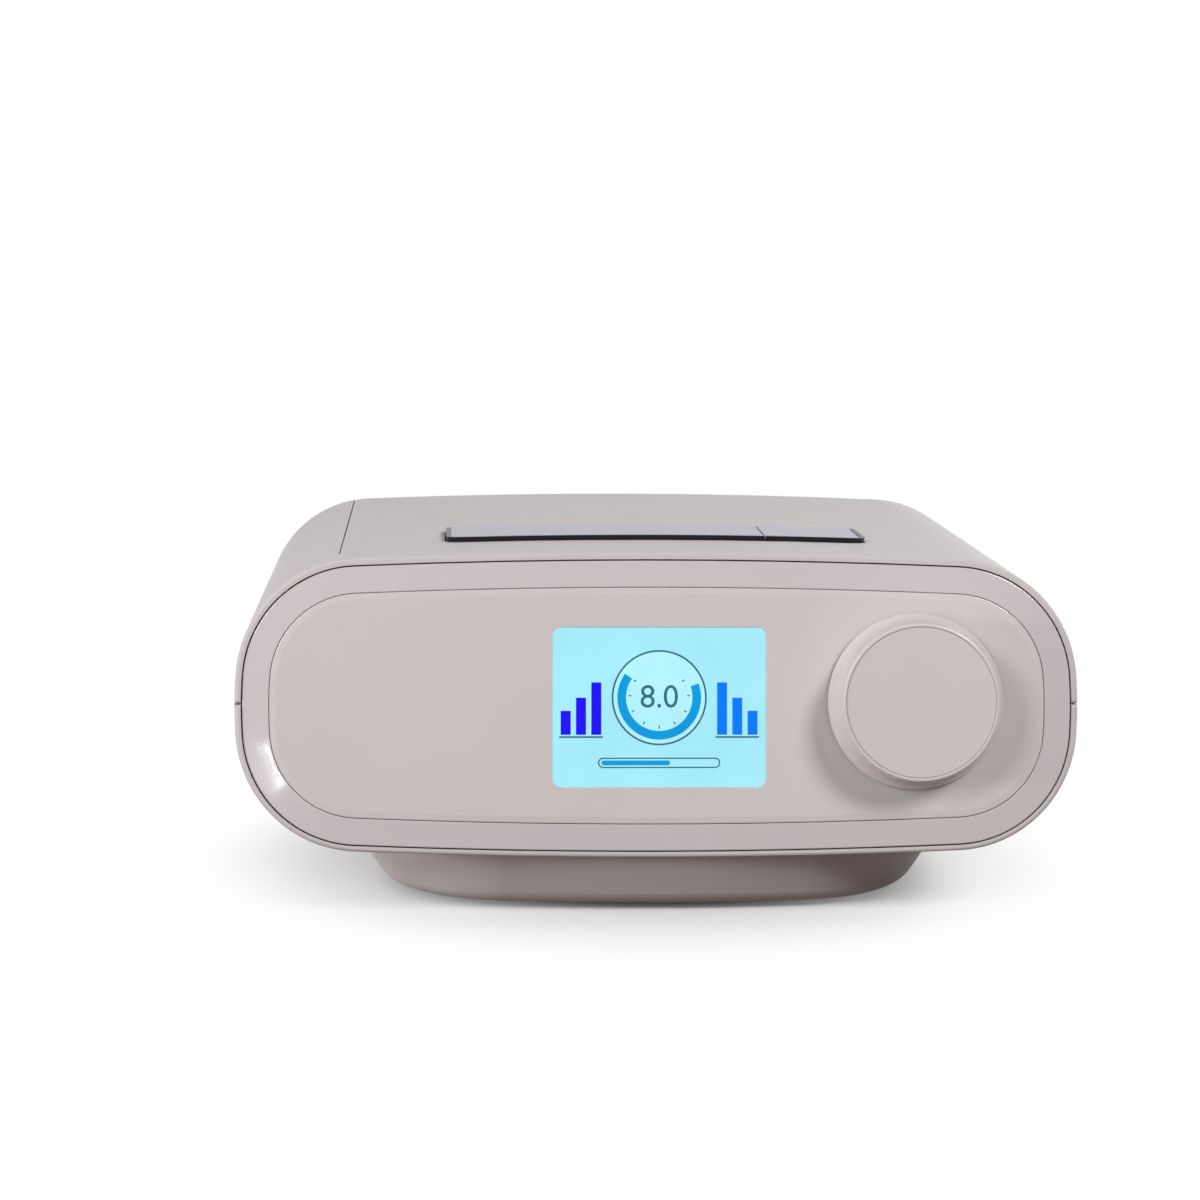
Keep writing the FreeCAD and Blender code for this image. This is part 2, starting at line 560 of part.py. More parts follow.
def upper_housing():
    piece = Piece("upper_housing")
    casing_skin(piece, "wall")
    piece.pocket("XY", "0", "parting_z + part_gap", everywhere())
    ring_recess(piece)
    # opening of the side door
    piece.pocket("XY", "parting_z - 1", ABOVE, rect(f"-{FAR}", "door_front_y", "-door_seam_x", "door_rear_y"))
    # hollow that the door's hinged edge swings into
    piece.pocket("XZ", "door_front_y", "door_rear_y", circle("hinge_x", HINGE_Z, f"{SWING} + door_gap"))
    # opening of the two keys, with a guide frame under the top
    frame = "button_gap + button_flange + 0.5"
    piece.pad("XY", "top_z - frame_drop", "top_z - wall", button_opening(f"{frame} + frame_wall"),
              button_opening(frame))
    piece.pocket("XY", "top_z - wall - 2", ABOVE, button_opening("button_gap"))
    # hollow posts that take the casing screws
    for x, y in columns():
        piece.pad("XY", "parting_z - 1.7", f"{column_skin(x)} - 0.2", circle(x, y, "column_radius"))
        piece.pocket("XY", "parting_z - 4", "thread_end + 4", circle(x, y, "thread_radius"))
    # posts that carry the main board
    for x, y in main_posts():
        piece.pad("XY", "board_top + 0.02", f"{skin_height(mm(x))} - wall * 0.6", circle(x, y, "post_radius"))
        piece.pocket("XY", "board_top", "board_top + screw_grip + 1", circle(x, y, "screw_radius"))
    # lugs that hold the door's hinge pin at both ends
    root, tip = "-door_seam_x + 2.5", "-door_seam_x - barrel_radius * 2 - 0.3"
    for start, end in hinge_lugs():
        piece.pad("XZ", start, end, path(
            (tip, f"{HINGE_Z} - barrel_radius * 0.4"), (root, f"{HINGE_Z} - barrel_radius * 1.4"),
            (root, "top_z - wall - 1.2"), (tip, f"{HINGE_Z} + barrel_radius * 0.3")))
    (first, _), (_, last) = hinge_lugs()
    piece.pocket("XZ", first, last, circle("hinge_x", HINGE_Z, "pin_radius + 0.01"))
    rear_hole(piece, outlet_hole())
    rear_hole(piece, cover_plan("part_gap"))


def hinge_height():
    """Height of the hinge axis that keeps the barrel tangent to the casing's skin from inside."""
    cx, cy = corner_centre(mm("half_width"), mm("half_height"))
    reach, across = mm("corner_radius - barrel_radius"), -mm("hinge_x") - cx
    return mm("parting_z") + cy + math.sqrt(reach ** 2 - across ** 2)


HINGE_Z = str(round(hinge_height(), 4))


def swing():
    """Radius that the outer corner of the door's hinged edge turns on."""
    seam = mm("door_seam_x + door_gap")
    return math.hypot(mm("hinge_x") + seam, skin_height(seam) - float(HINGE_Z))


SWING = str(round(swing(), 4))


def hinge_lugs():
    return [("door_front_y - lug_length", "door_front_y"), ("door_rear_y", "door_rear_y + lug_length / 2")]


# ---------------------------------------------------------------- front
def face_depth(point):
    """Distance of a point in front of the leaning face."""
    lean = math.radians(mm("lean"))
    ahead, up = mm("case_front_y") - point.y, point.z - mm("parting_z")
    return ahead * math.cos(lean) + up * math.sin(lean)


def at_depth(depth):
    """Test for edges that lie at one depth of the leaning face."""
    def test(edge):
        marks = (edge.FirstParameter, (edge.FirstParameter + edge.LastParameter) / 2, edge.LastParameter)
        return all(abs(face_depth(edge.valueAt(mark)) - mm(depth)) < 0.01 for mark in marks)
    return test


def front_bezel():
    piece = Piece("front_bezel")
    low = "-panel_drop - ring_drop"
    piece.pad("FACE", "-bezel_depth + 0.1", low, outline("ring_outer", leaning=True))
    piece.slope(low, "-panel_drop", "ring_outer", "ring_outer + ring_slope_width")
    piece.pocket("FACE", "-panel_thick", "1", outline("ring_inner", leaning=True))
    piece.pocket("FACE", "-10", "1", outline("ring_inner + bezel_ledge", leaning=True))
    piece.soften(at_depth(low), "front_round")
    piece.soften(at_depth("-panel_drop"), "front_round / 2")


def window_loop(grow):
    half_w, half_h = f"window_width / 2 + ({grow})", f"window_height / 2 + ({grow})"
    return round_rect(f"window_x - ({half_w})", f"window_up - ({half_h})",
                      f"window_x + {half_w}", f"window_up + {half_h}", f"window_corner + ({grow})")


def board_posts():
    """Posts behind the front panel that carry its circuit board."""
    up = "front_board_up - 3.4"
    return [(x, y) for x in ("-front_board_left + 4", "front_board_right - 4") for y in (f"-({up})", up)]


def fascia_panel():
    piece = Piece("fascia_panel")
    edge = "ring_inner + panel_seam"
    piece.pad("FACE", "-panel_thick + 0.02", "-panel_drop", outline(edge, leaning=True))
    piece.slope("-panel_drop", "0", edge, f"{edge} + panel_slope_width")
    # cup behind the dial, and the posts of the board
    piece.pad("FACE", "-well_depth - well_floor", "-1", circle("dial_x", "dial_up", "well_radius + 1.4"))
    for x, y in board_posts():
        piece.pad("FACE", "-front_board_back", "-panel_thick + 0.5", circle(x, y, "post_radius"))
    piece.soften(at_depth("-panel_drop"), "front_round")
    # stepped opening of the window, the dial's well and its bush hole
    piece.pocket("FACE", "-window_thick - 0.1", "1", window_loop("fit_gap"))
    piece.pocket("FACE", "-8", "1", window_loop("-window_ledge"))
    piece.pocket("FACE", "-well_depth", "1", circle("dial_x", "dial_up", "well_radius"))
    piece.pocket("FACE", "-20", "1", circle("dial_x", "dial_up", "bush_radius + fit_gap"))
    for x, y in board_posts():
        piece.pocket("FACE", "-front_board_back - 1", "-front_board_back + 6", circle(x, y, "screw_radius"))


def display_window():
    piece = Piece("display_window")
    piece.pad("FACE", "-window_thick", "-0.05", window_loop("0"))
    piece.soften(lambda edge: abs(face_depth(edge.CenterOfMass) + 0.05) < 0.01, "0.2")


def display_module():
    piece = Piece("display_module")
    half_w, half_h, back = "module_width / 2", "module_height / 2", "-panel_thick - module_thick"
    piece.pad("FACE", back, "-panel_thick", rect(
        f"window_x - {half_w}", f"window_up - {half_h}", f"window_x + {half_w}", f"window_up + {half_h}"))
    piece.pocket("FACE", "-panel_thick - module_sink", "0", window_loop("-window_ledge - module_sink"))
    header = Piece("display_header")
    header.pad("FACE", "-front_board_back", back, rect("window_x - 12", "window_up - 16",
                                                       "window_x + 12", "window_up - 11"))


def display_board():
    piece = Piece("display_board")
    piece.pad("FACE", "-front_board_back - board_thick", "-front_board_back", round_rect(
        "-front_board_left", "-front_board_up", "front_board_right", "front_board_up", "2"))
    for x, y in board_posts():
        piece.pocket("FACE", "-30", "0", circle(x, y, "screw_radius + 0.15"))


def board_screws():
    """The small screws of both boards, head and thread."""
    piece = Piece("board_screws")
    sets = (("FACE", board_posts(), "-front_board_back - board_thick", "-front_board_back"),
            ("XY", main_posts(), "board_z", "board_top"))
    for plane, places, seat, far_side in sets:
        for x, y in places:
            piece.pad(plane, f"{seat} - screw_head_height", seat, circle(x, y, "screw_head"))
            piece.pad(plane, f"{seat} - 0.5", f"{far_side} + screw_grip", circle(x, y, "screw_radius - 0.05"))


# ---------------------------------------------------------------- dial and its encoder
DIAL_AT = ("dial_x", "case_front_y + dial_up * sin(lean)", "parting_z + dial_up * cos(lean)")


def dial_part(label):
    """A body whose own Z axis runs along the shaft, out of the leaning panel."""
    return Piece(label, DIAL_AT, leaning=True)


def dial():
    skirt_in = "dial_face_radius - dial_wall"
    shelf, ledge = "dial_height - 3.6", "dial_lip - 1.3"
    dial_part("dial_skirt").turn(path(
        ("dial_skirt_radius", "-dial_sink"), ("dial_skirt_radius", "dial_float"),
        ("dial_base_radius", "dial_float"), ("dial_base_radius", "dial_float + 0.2"),
        ("dial_face_radius + 0.95", "2.7", "dial_face_radius + 0.35", "5.2"),
        ("dial_face_radius + 0.1", "dial_height - 0.6"),
        ("dial_face_radius - 0.05", "dial_height - 0.15", "dial_face_radius - 0.35", "dial_height"),
        ("dial_lip + 0.15", "dial_height"), ("dial_lip", "dial_height - 0.15"),
        ("dial_lip", "dial_height - 2.4"), (ledge, "dial_height - 2.4"), (ledge, shelf),
        (skirt_in, shelf), ("dial_skirt_radius - dial_wall", "-dial_sink")))
    insert = "dial_lip - 0.06"
    dial_part("dial_face").turn(path(
        ("0", "dial_height - 2.35"), (insert, "dial_height - 2.35"), (insert, "dial_height - 0.25"),
        (f"{insert} - 0.1", "dial_height - 0.15"), ("0", "dial_height - 0.15")))
    sleeve, disc = "shaft_radius + 2.6", f"{skirt_in} - 0.1"
    dial_part("dial_hub").turn(path(
        ("shaft_radius + 0.02", "0.9"), (sleeve, "0.9"), (sleeve, "dial_height - 5"),
        (disc, "dial_height - 5"), (disc, f"{shelf} - 0.05"), (f"{ledge} - 0.15", f"{shelf} - 0.05"),
        (f"{ledge} - 0.15", "dial_height - 2.4"), ("0", "dial_height - 2.4"),
        ("0", "dial_height - 3.4"), ("shaft_radius + 0.02", "dial_height - 3.4")))


def encoder():
    """Encoder with its shaft in a bush, a plunger under the shaft and a snap dome under the plunger."""
    collar = "shaft_radius + 0.8"
    dial_part("encoder_shaft").turn(path(
        ("0", "shaft_foot"), (collar, "shaft_foot"), (collar, "shaft_foot + 1"),
        ("shaft_radius", "shaft_foot + 1"), ("shaft_radius", "dial_height - 3.5"),
        ("0", "dial_height - 3.5")))
    wide = "shaft_radius + 0.6"
    dial_part("encoder_plunger").turn(path(
        ("0", "shaft_foot - 1.1"), ("2.4", "shaft_foot - 1.1"), ("2.4", "shaft_foot - 0.4"),
        (wide, "shaft_foot - 0.4"), (wide, "shaft_foot - 0.03"), ("0", "shaft_foot - 0.03")))
    seat = "-front_board_back"
    dial_part("encoder_dome").turn(path(
        ("0", f"{seat} + 0.6"), ("0", f"{seat} + 0.8"), ("1.2", f"{seat} + 0.74"), ("2.4", f"{seat} + 0.4"),
        ("3", f"{seat} + 0.1"), ("2.5", f"{seat} + 0.1"), ("2.1", f"{seat} + 0.3"),
        ("1.1", f"{seat} + 0.56")))
    body = dial_part("encoder_body")
    half, top = "encoder_size / 2", "-well_depth - well_floor - 0.15"
    body.pad("XY", seat, top, rect(f"-{half}", f"-{half}", half, half))
    body.pad("XY", f"{top} - 0.5", "-well_depth + 1.4", circle("0", "0", "bush_radius"))
    body.pocket("XY", f"{seat} - 1", f"{seat} + 4", circle("0", "0", "shaft_radius + 1.3"))
    body.pocket("XY", seat, "0", circle("0", "0", "shaft_radius + run_gap"))


# ---------------------------------------------------------------- top keys
def key(label, left, right, outer):
    """A key that fills its part of the bar; outer is -1 or 1, the side of its free end."""
    piece = Piece(f"{label}_button")
    piece.pad("XY", "top_z - button_plate", "top_z + 3", key_plan(left, right, outer))
    flange_top = "top_z - wall - 1.15"
    wide_left, wide_right = ("button_flange", "0") if outer < 0 else ("0", "button_flange")
    piece.pad("XY", f"{flange_top} - 1", flange_top, round_rect(
        f"{left} - {wide_left}", "button_front_y - button_flange",
        f"{right} + {wide_right}", "button_rear_y + button_flange", "button_corner"))
    stem = circle(stem_x(left, right), "button_mid_y", "stem_radius")
    piece.pad("XY", "keypad_top + 0.15", flange_top, stem)
    piece.pocket("XZ", "-100", "100", above_crown("button_proud"))
    piece.pocket("XY", "top_z - trim_deep", ABOVE, trim_loop(left, right, outer, "0.04"))
    trim = Piece(f"{label}_trim")
    trim.pad("XY", "top_z - trim_deep", "top_z + 3", trim_loop(left, right, outer, "0"))
    trim.pocket("XZ", "-100", "100", above_crown("trim_proud"))


def stem_x(left, right):
    return f"(({left}) + ({right})) / 2"


def key_plan(left, right, outer):
    """Plan of a key: square at the split, with rounded corners at its free end."""
    def draw(sketch):
        free, shut = (mm(left), mm(right)) if outer < 0 else (mm(right), mm(left))
        front, rear, r = mm("button_front_y"), mm("button_rear_y"), mm("button_corner")
        k = r * (1 - math.sqrt(0.5))
        s = -outer
        path((shut, rear), (free + s * r, rear), (free + s * k, rear - k, free, rear - r),
             (free, front + r), (free + s * k, front + k, free + s * r, front), (shut, front))(sketch)
    return draw


def trim_loop(left, right, outer, grow):
    """Band along a key's front edge that turns the corner and runs along its free end."""
    def draw(sketch):
        free, shut = (mm(left), mm(right)) if outer < 0 else (mm(right), mm(left))
        front, r, wide = mm("button_front_y"), mm("button_corner"), mm("trim_width") + mm(grow)
        stop = mm("button_rear_y") - r
        k, m = r * (1 - math.sqrt(0.5)), (r - wide) * (1 - math.sqrt(0.5))
        s = -outer
        path((shut, front), (free + s * r, front), (free + s * k, front + k, free, front + r),
             (free, stop), (free + s * wide, stop), (free + s * wide, front + r),
             (free + s * (wide + m), front + wide + m, free + s * r, front + wide),
             (shut, front + wide))(sketch)
    return draw


def top_keys():
    spans = {"start": ("-button_left", "button_split - split_gap / 2", -1),
             "ramp": ("button_split + split_gap / 2", "button_right", 1)}
    keypad = Piece("button_keypad")
    keypad.pad("XY", "board_top", "board_top + keypad_skirt", round_rect(
        "-20", "button_front_y + 3", "button_right - 2", "button_rear_y - 3", "2"))
    for label, (left, right, outer) in spans.items():
        key(label, left, right, outer)
        keypad.pad("XY", "board_top + 0.5", "keypad_top",
                   circle(stem_x(left, right), "button_mid_y", "stem_radius + 1.4"))


# ---------------------------------------------------------------- boards
# The main board's larger components: place, size along X and Y, height.
COMPONENTS = ((-30, 12, 14, 14, 1.6), (-2, 20, 10, 10, 1.2), (20, 18, 18, 9, 3.0),
              (52, 24, 9, 9, 4.5), (66, 24, 9, 9, 4.5), (40, 2, 12, 6, 2.0))


def main_board():
    board = Piece("main_board")
    board.pad("XY", "board_z", "board_top", rect("-board_left", "-board_front", "board_right", "board_rear"))
    for x, y in main_posts():
        board.pocket("XY", "board_z - 1", "board_top + 1", circle(x, y, "screw_radius + 0.15"))
    parts = Piece("board_parts")
    for x, y, wide, deep, tall in COMPONENTS:
        parts.pad("XY", "board_top", f"board_top + {tall}",
                  rect(str(x - wide / 2), str(y - deep / 2), str(x + wide / 2), str(y + deep / 2)))
    buzzer = Piece("buzzer", ("-26", "29", "board_top"))
    buzzer.pad("XY", "0", "5", circle("0", "0", "4.5"))
    buzzer.pocket("XY", "4", "6", circle("0", "0", "1.1"))


def card_and_socket():
    socket = Piece("card_socket")
    half, slit = "card_width / 2 + 1.4", "card_width / 2 + 0.1"
    low = "board_top + 0.5"
    socket.pad("XY", "board_top", f"{low} + card_thick + 0.7", rect(
        "socket_x", f"card_y - ({half})", "socket_x + socket_length", f"card_y + {half}"))
    socket.pocket("XY", low, f"{low} + card_thick + 0.2", rect(
        "socket_x - 1", f"card_y - ({slit})", "socket_x + socket_length - 2.5", f"card_y + {slit}"))
    card = Piece("memory_card")
    tip, tail = "socket_x + socket_length - 2.8", "socket_x + socket_length - 2.8 - card_length"
    front, back = "card_y - card_width / 2", "card_y + card_width / 2"
    card.pad("XY", f"{low} + 0.02", f"{low} + 0.02 + card_thick", path(
        (tail, front), (f"{tip} - card_bevel", front), (tip, f"{front} + card_bevel"), (tip, back),
        (tail, back)))


# ---------------------------------------------------------------- side door and filter bay
def side_door():
    piece = Piece("side_door")
    casing_skin(piece, "door_wall")
    front, rear = "door_front_y + door_gap", "door_rear_y - door_gap"
    piece.pocket("XY", "0", "parting_z + part_gap", everywhere())
    seam = "-door_seam_x - door_gap"
    for corner in ((seam, f"-{FAR}", FAR, FAR), (f"-{FAR}", f"-{FAR}", FAR, front),
                   (f"-{FAR}", rear, FAR, FAR)):
        piece.pocket("XY", "0", ABOVE, rect(*corner))
    piece.pad("XZ", front, rear, circle("hinge_x", HINGE_Z, "barrel_radius"))
    piece.pad("XZ", front, rear, rect("hinge_x", HINGE_Z, seam, f"{HINGE_Z} + barrel_radius * 0.8"))
    piece.pocket("XZ", f"{front} - 1", f"{rear} + 1", circle("hinge_x", HINGE_Z, "pin_radius + run_gap"))
    # row of air slots low on the door's side
    first, low = "door_front_y + slot_first", "parting_z + 6"
    slots = piece.pocket("YZ", "-half_width - 5", "-half_width + 12", slot(
        first, low, first, f"{low} + slot_length - slot_width", "slot_width / 2"))
    piece.along(slots, "Y_Axis", "slot_pitch * (slot_count - 1)", "slot_count")
    # finger scoop at the free edge
    middle, half = "(door_front_y + door_rear_y) / 2", "scoop_length / 2"
    piece.pocket("YZ", "-half_width - 5", "-half_width + 12", slot(
        f"{middle} - {half}", "parting_z - 0.9", f"{middle} + {half}", "parting_z - 0.9", "scoop_radius"))


def door_pin():
    (start, _), (_, end) = hinge_lugs()
    Piece("door_pin").pad("XZ", f"{start} + 0.2", f"{end} - 0.2", circle("hinge_x", HINGE_Z, "pin_radius"))


def filter_bay():
    """Tray behind the door, with ledges for the filter, a grille for the air and a slit for the card."""
    piece = Piece("filter_bay")
    outer, inner = "-bay_inner_x", "-bay_inner_x - bay_wall"
    piece.pad("XZ", "bay_front_y", "bay_rear_y", outline("wall + 0.5"))
    piece.pocket("XY", "0", "bay_low_z", everywhere())
    piece.pocket("XY", "0", ABOVE, rect(outer, f"-{FAR}", FAR, FAR))
    piece.pocket("XY", "bay_top_z + bay_wall", ABOVE, everywhere())
    piece.pocket("XY", "bay_floor_z", "bay_top_z", rect(
        f"-{FAR}", "bay_front_y + bay_wall", inner, "bay_rear_y - bay_wall"))
    # nothing of the bay reaches under the door's hinge
    piece.pocket("XY", f"{HINGE_Z} - {SWING} - swing_room", ABOVE, rect(
        f"-{FAR}", f"-{FAR}", f"hinge_x + {SWING} + swing_room", FAR))
    bars = 6
    for i in range(1, bars):
        y = f"blower_y - intake_width / 2 + intake_width / {bars} * {i}"
        piece.pocket("YZ", f"{inner} - 1", f"{outer} + 1", slot(
            y, "intake_z + intake_wall + 1.5", y, "intake_top - intake_wall - 1.5", "1.5"))
    piece.pocket("YZ", f"{inner} - 1", f"{outer} + 1", rect(
        "card_y - card_width / 2 - 0.4", "board_top + 0.1",
        "card_y + card_width / 2 + 0.4", "board_top + card_thick + 0.9"))
    half = "filter_length / 2"
    for y in (f"blower_y - {half} - 0.2 - ledge", f"blower_y + {half} + 0.2"):
        piece.pad("XY", "bay_low_z", "filter_top_z", rect(
            f"{inner} - filter_thick - ledge", y, f"{outer} - 0.5", f"{y} + ledge"))


def pollen_filter():
    inner, half = "-bay_inner_x - bay_wall", "filter_length / 2 - 0.2"
    Piece("pollen_filter").pad("XY", "bay_floor_z + 0.1", "filter_top_z", rect(
        f"{inner} - filter_thick", f"blower_y - ({half})", f"{inner} - 0.2", f"blower_y + {half}"))


# ---------------------------------------------------------------- blower
BLOWER_AT = ("blower_x", "blower_y", "0")
EAR_ANGLES = (150, 225, 315)


def ear_places():
    """Places of the blower's three ears about its axis."""
    return [(f"ear_reach * cos({angle})", f"ear_reach * sin({angle})") for angle in EAR_ANGLES]


def scroll_plan(grow):
    """Spiral plan of four quarter arcs about the corners of a small square, with its outlet duct."""
    def draw(sketch):
        step, start, more = mm("scroll_step"), mm("scroll_start"), mm(grow)
        h = step / 2
        radii = [start + more + step * i for i in range(4)]
        c = math.sqrt(0.5)
        right = h + radii[3]
        inner = mm("scroll_start + scroll_step * 3.5 - duct_width") - more
        end = mm("duct_end")
        # the tongue: where the duct's inner wall meets the first quarter
        rise = h + math.sqrt(radii[0] ** 2 - (inner + h) ** 2)
        angle = (math.atan2(rise - h, inner + h) + math.pi / 2) / 2
        path((inner, rise), (-h + radii[0] * math.cos(angle), h + radii[0] * math.sin(angle),
                             -h, h + radii[0]),
             (-h - radii[1] * c, -h + radii[1] * c, -h - radii[1], -h),
             (h - radii[2] * c, -h - radii[2] * c, h, -h - radii[2]),
             (h + radii[3] * c, h - radii[3] * c, right, h), (right, end), (inner, end))(sketch)
    return draw


def blower_base():
    piece = Piece("blower_base", BLOWER_AT)
    hollow = ("scroll_floor", "outlet_z + 1", scroll_plan("0"))
    piece.pad("XY", "blower_z", "outlet_z", scroll_plan("scroll_wall"))
    piece.pocket("XY", *hollow)
    # collar of the motor can and seat of the upper bearing
    piece.pad("XY", "blower_z - 6", "scroll_floor - 0.5", circle("0", "0", "can_radius + 1.8"))
    piece.pocket("XY", "blower_z - 7", "blower_z - 0.6", circle("0", "0", "can_radius + fit_gap"))
    low = "blower_z - 10"
    piece.pad("XY", "blower_z - bearing_height - 0.4", "scroll_floor",
              circle("0", "0", "bearing_radius + 1.4"))
    piece.pocket("XY", low, "blower_z", circle("0", "0", "bearing_radius + 0.01"))
    piece.pocket("XY", low, "scroll_floor + 1", circle("0", "0", "axle_radius + 0.7"))
    root = "(scroll_start + scroll_wall) / ear_reach"
    for x, y in ear_places():
        piece.pad("XY", "blower_z", "blower_z + ear_thick", slot(
            f"({x}) * {root}", f"({y}) * {root}", x, y, "ear_radius"))
    piece.pocket("XY", *hollow)
    for x, y in ear_places():
        piece.pocket("XY", "0", "outlet_z", circle(x, y, "2.2"))


def blower_cover():
    piece = Piece("blower_cover", BLOWER_AT)
    lid = "scroll_top + scroll_wall"
    piece.pad("XY", "outlet_z + 0.02", lid, scroll_plan("scroll_wall"))
    piece.pocket("XY", "outlet_z - 1", "scroll_top", scroll_plan("0"))
    # raised rim round the eye
    rim = "eye_radius + 1.4"
    piece.turn(path(("eye_radius", "scroll_top - 0.6"), (rim, "scroll_top - 0.6"), (rim, f"{lid} + 0.9"),
                    ("eye_radius + 1.0", f"{lid} + 0.9"), ("eye_radius", lid)))
    piece.pocket("XY", "outlet_z", f"{lid} + 10", circle("0", "0", "eye_radius"))


def blower_spigot():
    """Square flange on the scroll's mouth that turns into a round spigot for the boot."""
    piece = Piece("blower_spigot", BLOWER_AT)
    middle, half, back = "outlet_x - blower_x", "duct_width / 2 + scroll_wall", "duct_end + 1.6"
    piece.pad("XZ", "duct_end", back, rect(
        f"{middle} - ({half})", "blower_z", f"{middle} + {half}", "scroll_top + scroll_wall"))
    piece.pad("XZ", "duct_end + 1", f"{back} + 9", circle(middle, "outlet_z", "spigot_radius"))
    piece.pocket("XZ", "duct_end - 1", f"{back} + 10", circle(middle, "outlet_z", "spigot_radius - 2"))


def impeller():
    """Shrouded wheel with backward-curved blades between a stepped hub disc and a front ring."""
    piece = Piece("impeller", ("blower_x", "blower_y", "scroll_floor + impeller_lift"))
    tip, tall = "impeller_radius", "impeller_height"
    piece.turn(path(("axle_radius", "0"), (tip, "0"), (tip, "1.1"), (f"{tip} * 0.5", "1.9"),
                    ("hub_radius + 1.2", "4"), ("hub_radius", f"{tall} - 3.5"),
                    ("axle_radius", f"{tall} - 3")))
    blade = piece.pad("XY", "0.5", tall, blade_plan())
    piece.around(blade, "blade_count")
    # the blades' tops follow the front ring, which falls from the eye to the rim
    eye, mid, low = "eye_radius - 0.8", f"{tip} * 0.7", f"{tall} - 4.4"
    piece.turn(path((f"{eye} - 0.6", tall), (eye, f"{tall} - 1.2"), (mid, f"{tall} - 3.4"),
                    (f"{tip} + 1", low), (f"{tip} + 1", f"{tall} + 1"),
                    (f"{eye} - 0.6", f"{tall} + 1")), groove=True)
    piece.turn(path((eye, f"{tall} - 1.7"), (mid, f"{tall} - 3.9"), (tip, f"{low} - 0.55"),
                    (tip, f"{low} + 0.6"), (mid, f"{tall} - 2.5"), ("eye_radius + 0.2", f"{tall} - 0.2"),
                    ("eye_radius + 0.2", tall), (eye, tall)))


def blade_plan():
    """One blade: a band about an arc that leans back from the hub to the rim."""
    def draw(sketch):
        inner, outer = mm("hub_radius") + 1.5, mm("impeller_radius") - 0.05
        sweep, bend, half = -math.radians(mm("blade_sweep")), mm("blade_bend"), mm("blade_thick") / 2
        start, end = V(inner, 0, 0), V(outer * math.cos(sweep), outer * math.sin(sweep), 0)
        chord = end - start
        middle = (start + end) * 0.5
        side = V(-chord.y, chord.x, 0).normalize()
        centre = middle - side * math.sqrt(bend ** 2 - (chord.Length / 2) ** 2)
        rays = [(spot - centre).normalize() for spot in (start, middle, end)]
        near = [centre + ray * (bend - half) for ray in rays]
        far = [centre + ray * (bend + half) for ray in rays]
        path((near[0].x, near[0].y), (near[1].x, near[1].y, near[2].x, near[2].y), (far[2].x, far[2].y),
             (far[1].x, far[1].y, far[0].x, far[0].y))(sketch)
    return draw


def motor():
    shaft = Piece("motor_shaft", BLOWER_AT)
    shaft.pad("XY", "can_low + 1.6", "scroll_floor + impeller_height - 1.2", circle("0", "0", "axle_radius"))
    shaft.soften(level(mm("can_low + 1.6")), "0.3", "Chamfer")
    can = Piece("motor_can", BLOWER_AT)
    can.pad("XY", "can_low", "blower_z - 0.7", circle("0", "0", "can_radius"))
    can.pocket("XY", "can_floor + bearing_height", "blower_z", circle("0", "0", "can_radius - can_wall"))
    can.pocket("XY", "can_floor", "blower_z", circle("0", "0", "bearing_radius + 0.01"))
    can.soften(level(mm("can_low")), "1.2", "Chamfer")
    magnet = Piece("rotor_magnet", BLOWER_AT)
    magnet.pad("XY", "coil_low + 0.4", "coil_top - 0.4", circle("0", "0", "magnet_radius"),
               circle("0", "0", "axle_radius"))
    stator = Piece("motor_stator", BLOWER_AT)
    bore = "magnet_radius + coil_gap"
    stator.pad("XY", "coil_low", "coil_top", circle("0", "0", "can_radius - can_wall - 0.05"),
               circle("0", "0", bore))
    winding = stator.pocket("XY", "coil_low - 1", "coil_top + 1", slot(
        f"{bore} + 1.6", "0", "can_radius - 3.2", "0", "0.8"))
    stator.around(winding, "coil_slots")
    bearings = Piece("motor_bearings", BLOWER_AT)
    for start in ("can_floor", "blower_z - bearing_height"):
        bearings.pad("XY", start, f"{start} + bearing_height", circle("0", "0", "bearing_radius"),
                     circle("0", "0", "axle_radius + 0.03"))


def blower_mounts():
    """Waisted silicone mounts between the casing's bosses and the blower's ears."""
    piece = Piece("blower_mounts", BLOWER_AT)
    waist, top = "mount_radius - 1.4", "blower_z - 0.05"
    for x, y in ear_places():
        piece.turn(path(("0", "mount_low"), ("mount_radius", "mount_low"), ("mount_radius", "mount_low + 2"),
                        (waist, "mount_low + 3"), (waist, "mount_low + 5"), ("mount_radius", "mount_low + 6"),
                        ("mount_radius", top), ("0", top)), shift=(x, "0"), at=y)


# ---------------------------------------------------------------- air path
def intake():
    duct = Piece("inlet_duct")
    half, start = "intake_width / 2", "0.05 - bay_inner_x"
    duct.pad("XY", "intake_z", "intake_top", duct_plan(start, half))
    duct.pocket("XY", "intake_z + intake_wall", "intake_top - intake_wall",
                duct_plan(f"{start} - 1", f"{half} - intake_wall"))
    duct.pocket("XY", "intake_z - 1", "intake_z + intake_wall + 1",
                circle("blower_x", "blower_y", "eye_radius + 1.7"))
    foam = Piece("muffler_foam")
    top, side = "intake_top - intake_wall - 0.1", f"{half} - intake_wall - 0.4"
    foam.pad("XY", f"{top} - 2", top, round_rect("10 - bay_inner_x", f"blower_y - ({side})", "blower_x - 20",
                                               f"blower_y + {side}", "3"))


def duct_plan(start, half):
    """Straight duct that ends in a half round over the blower's eye."""
    y0, y1 = f"blower_y - ({half})", f"blower_y + ({half})"
    return path((start, y0), ("blower_x", y0), (f"blower_x + ({half})", "blower_y", "blower_x", y1),
                (start, y1))


def on_outlet(label, *points):
    """A round piece about the outlet's axis; its profile is given as place along Y and radius."""
    Piece(label).turn(path(*points), plane="YZ", at="outlet_x", shift=("0", "outlet_z"), axis="H_Axis")


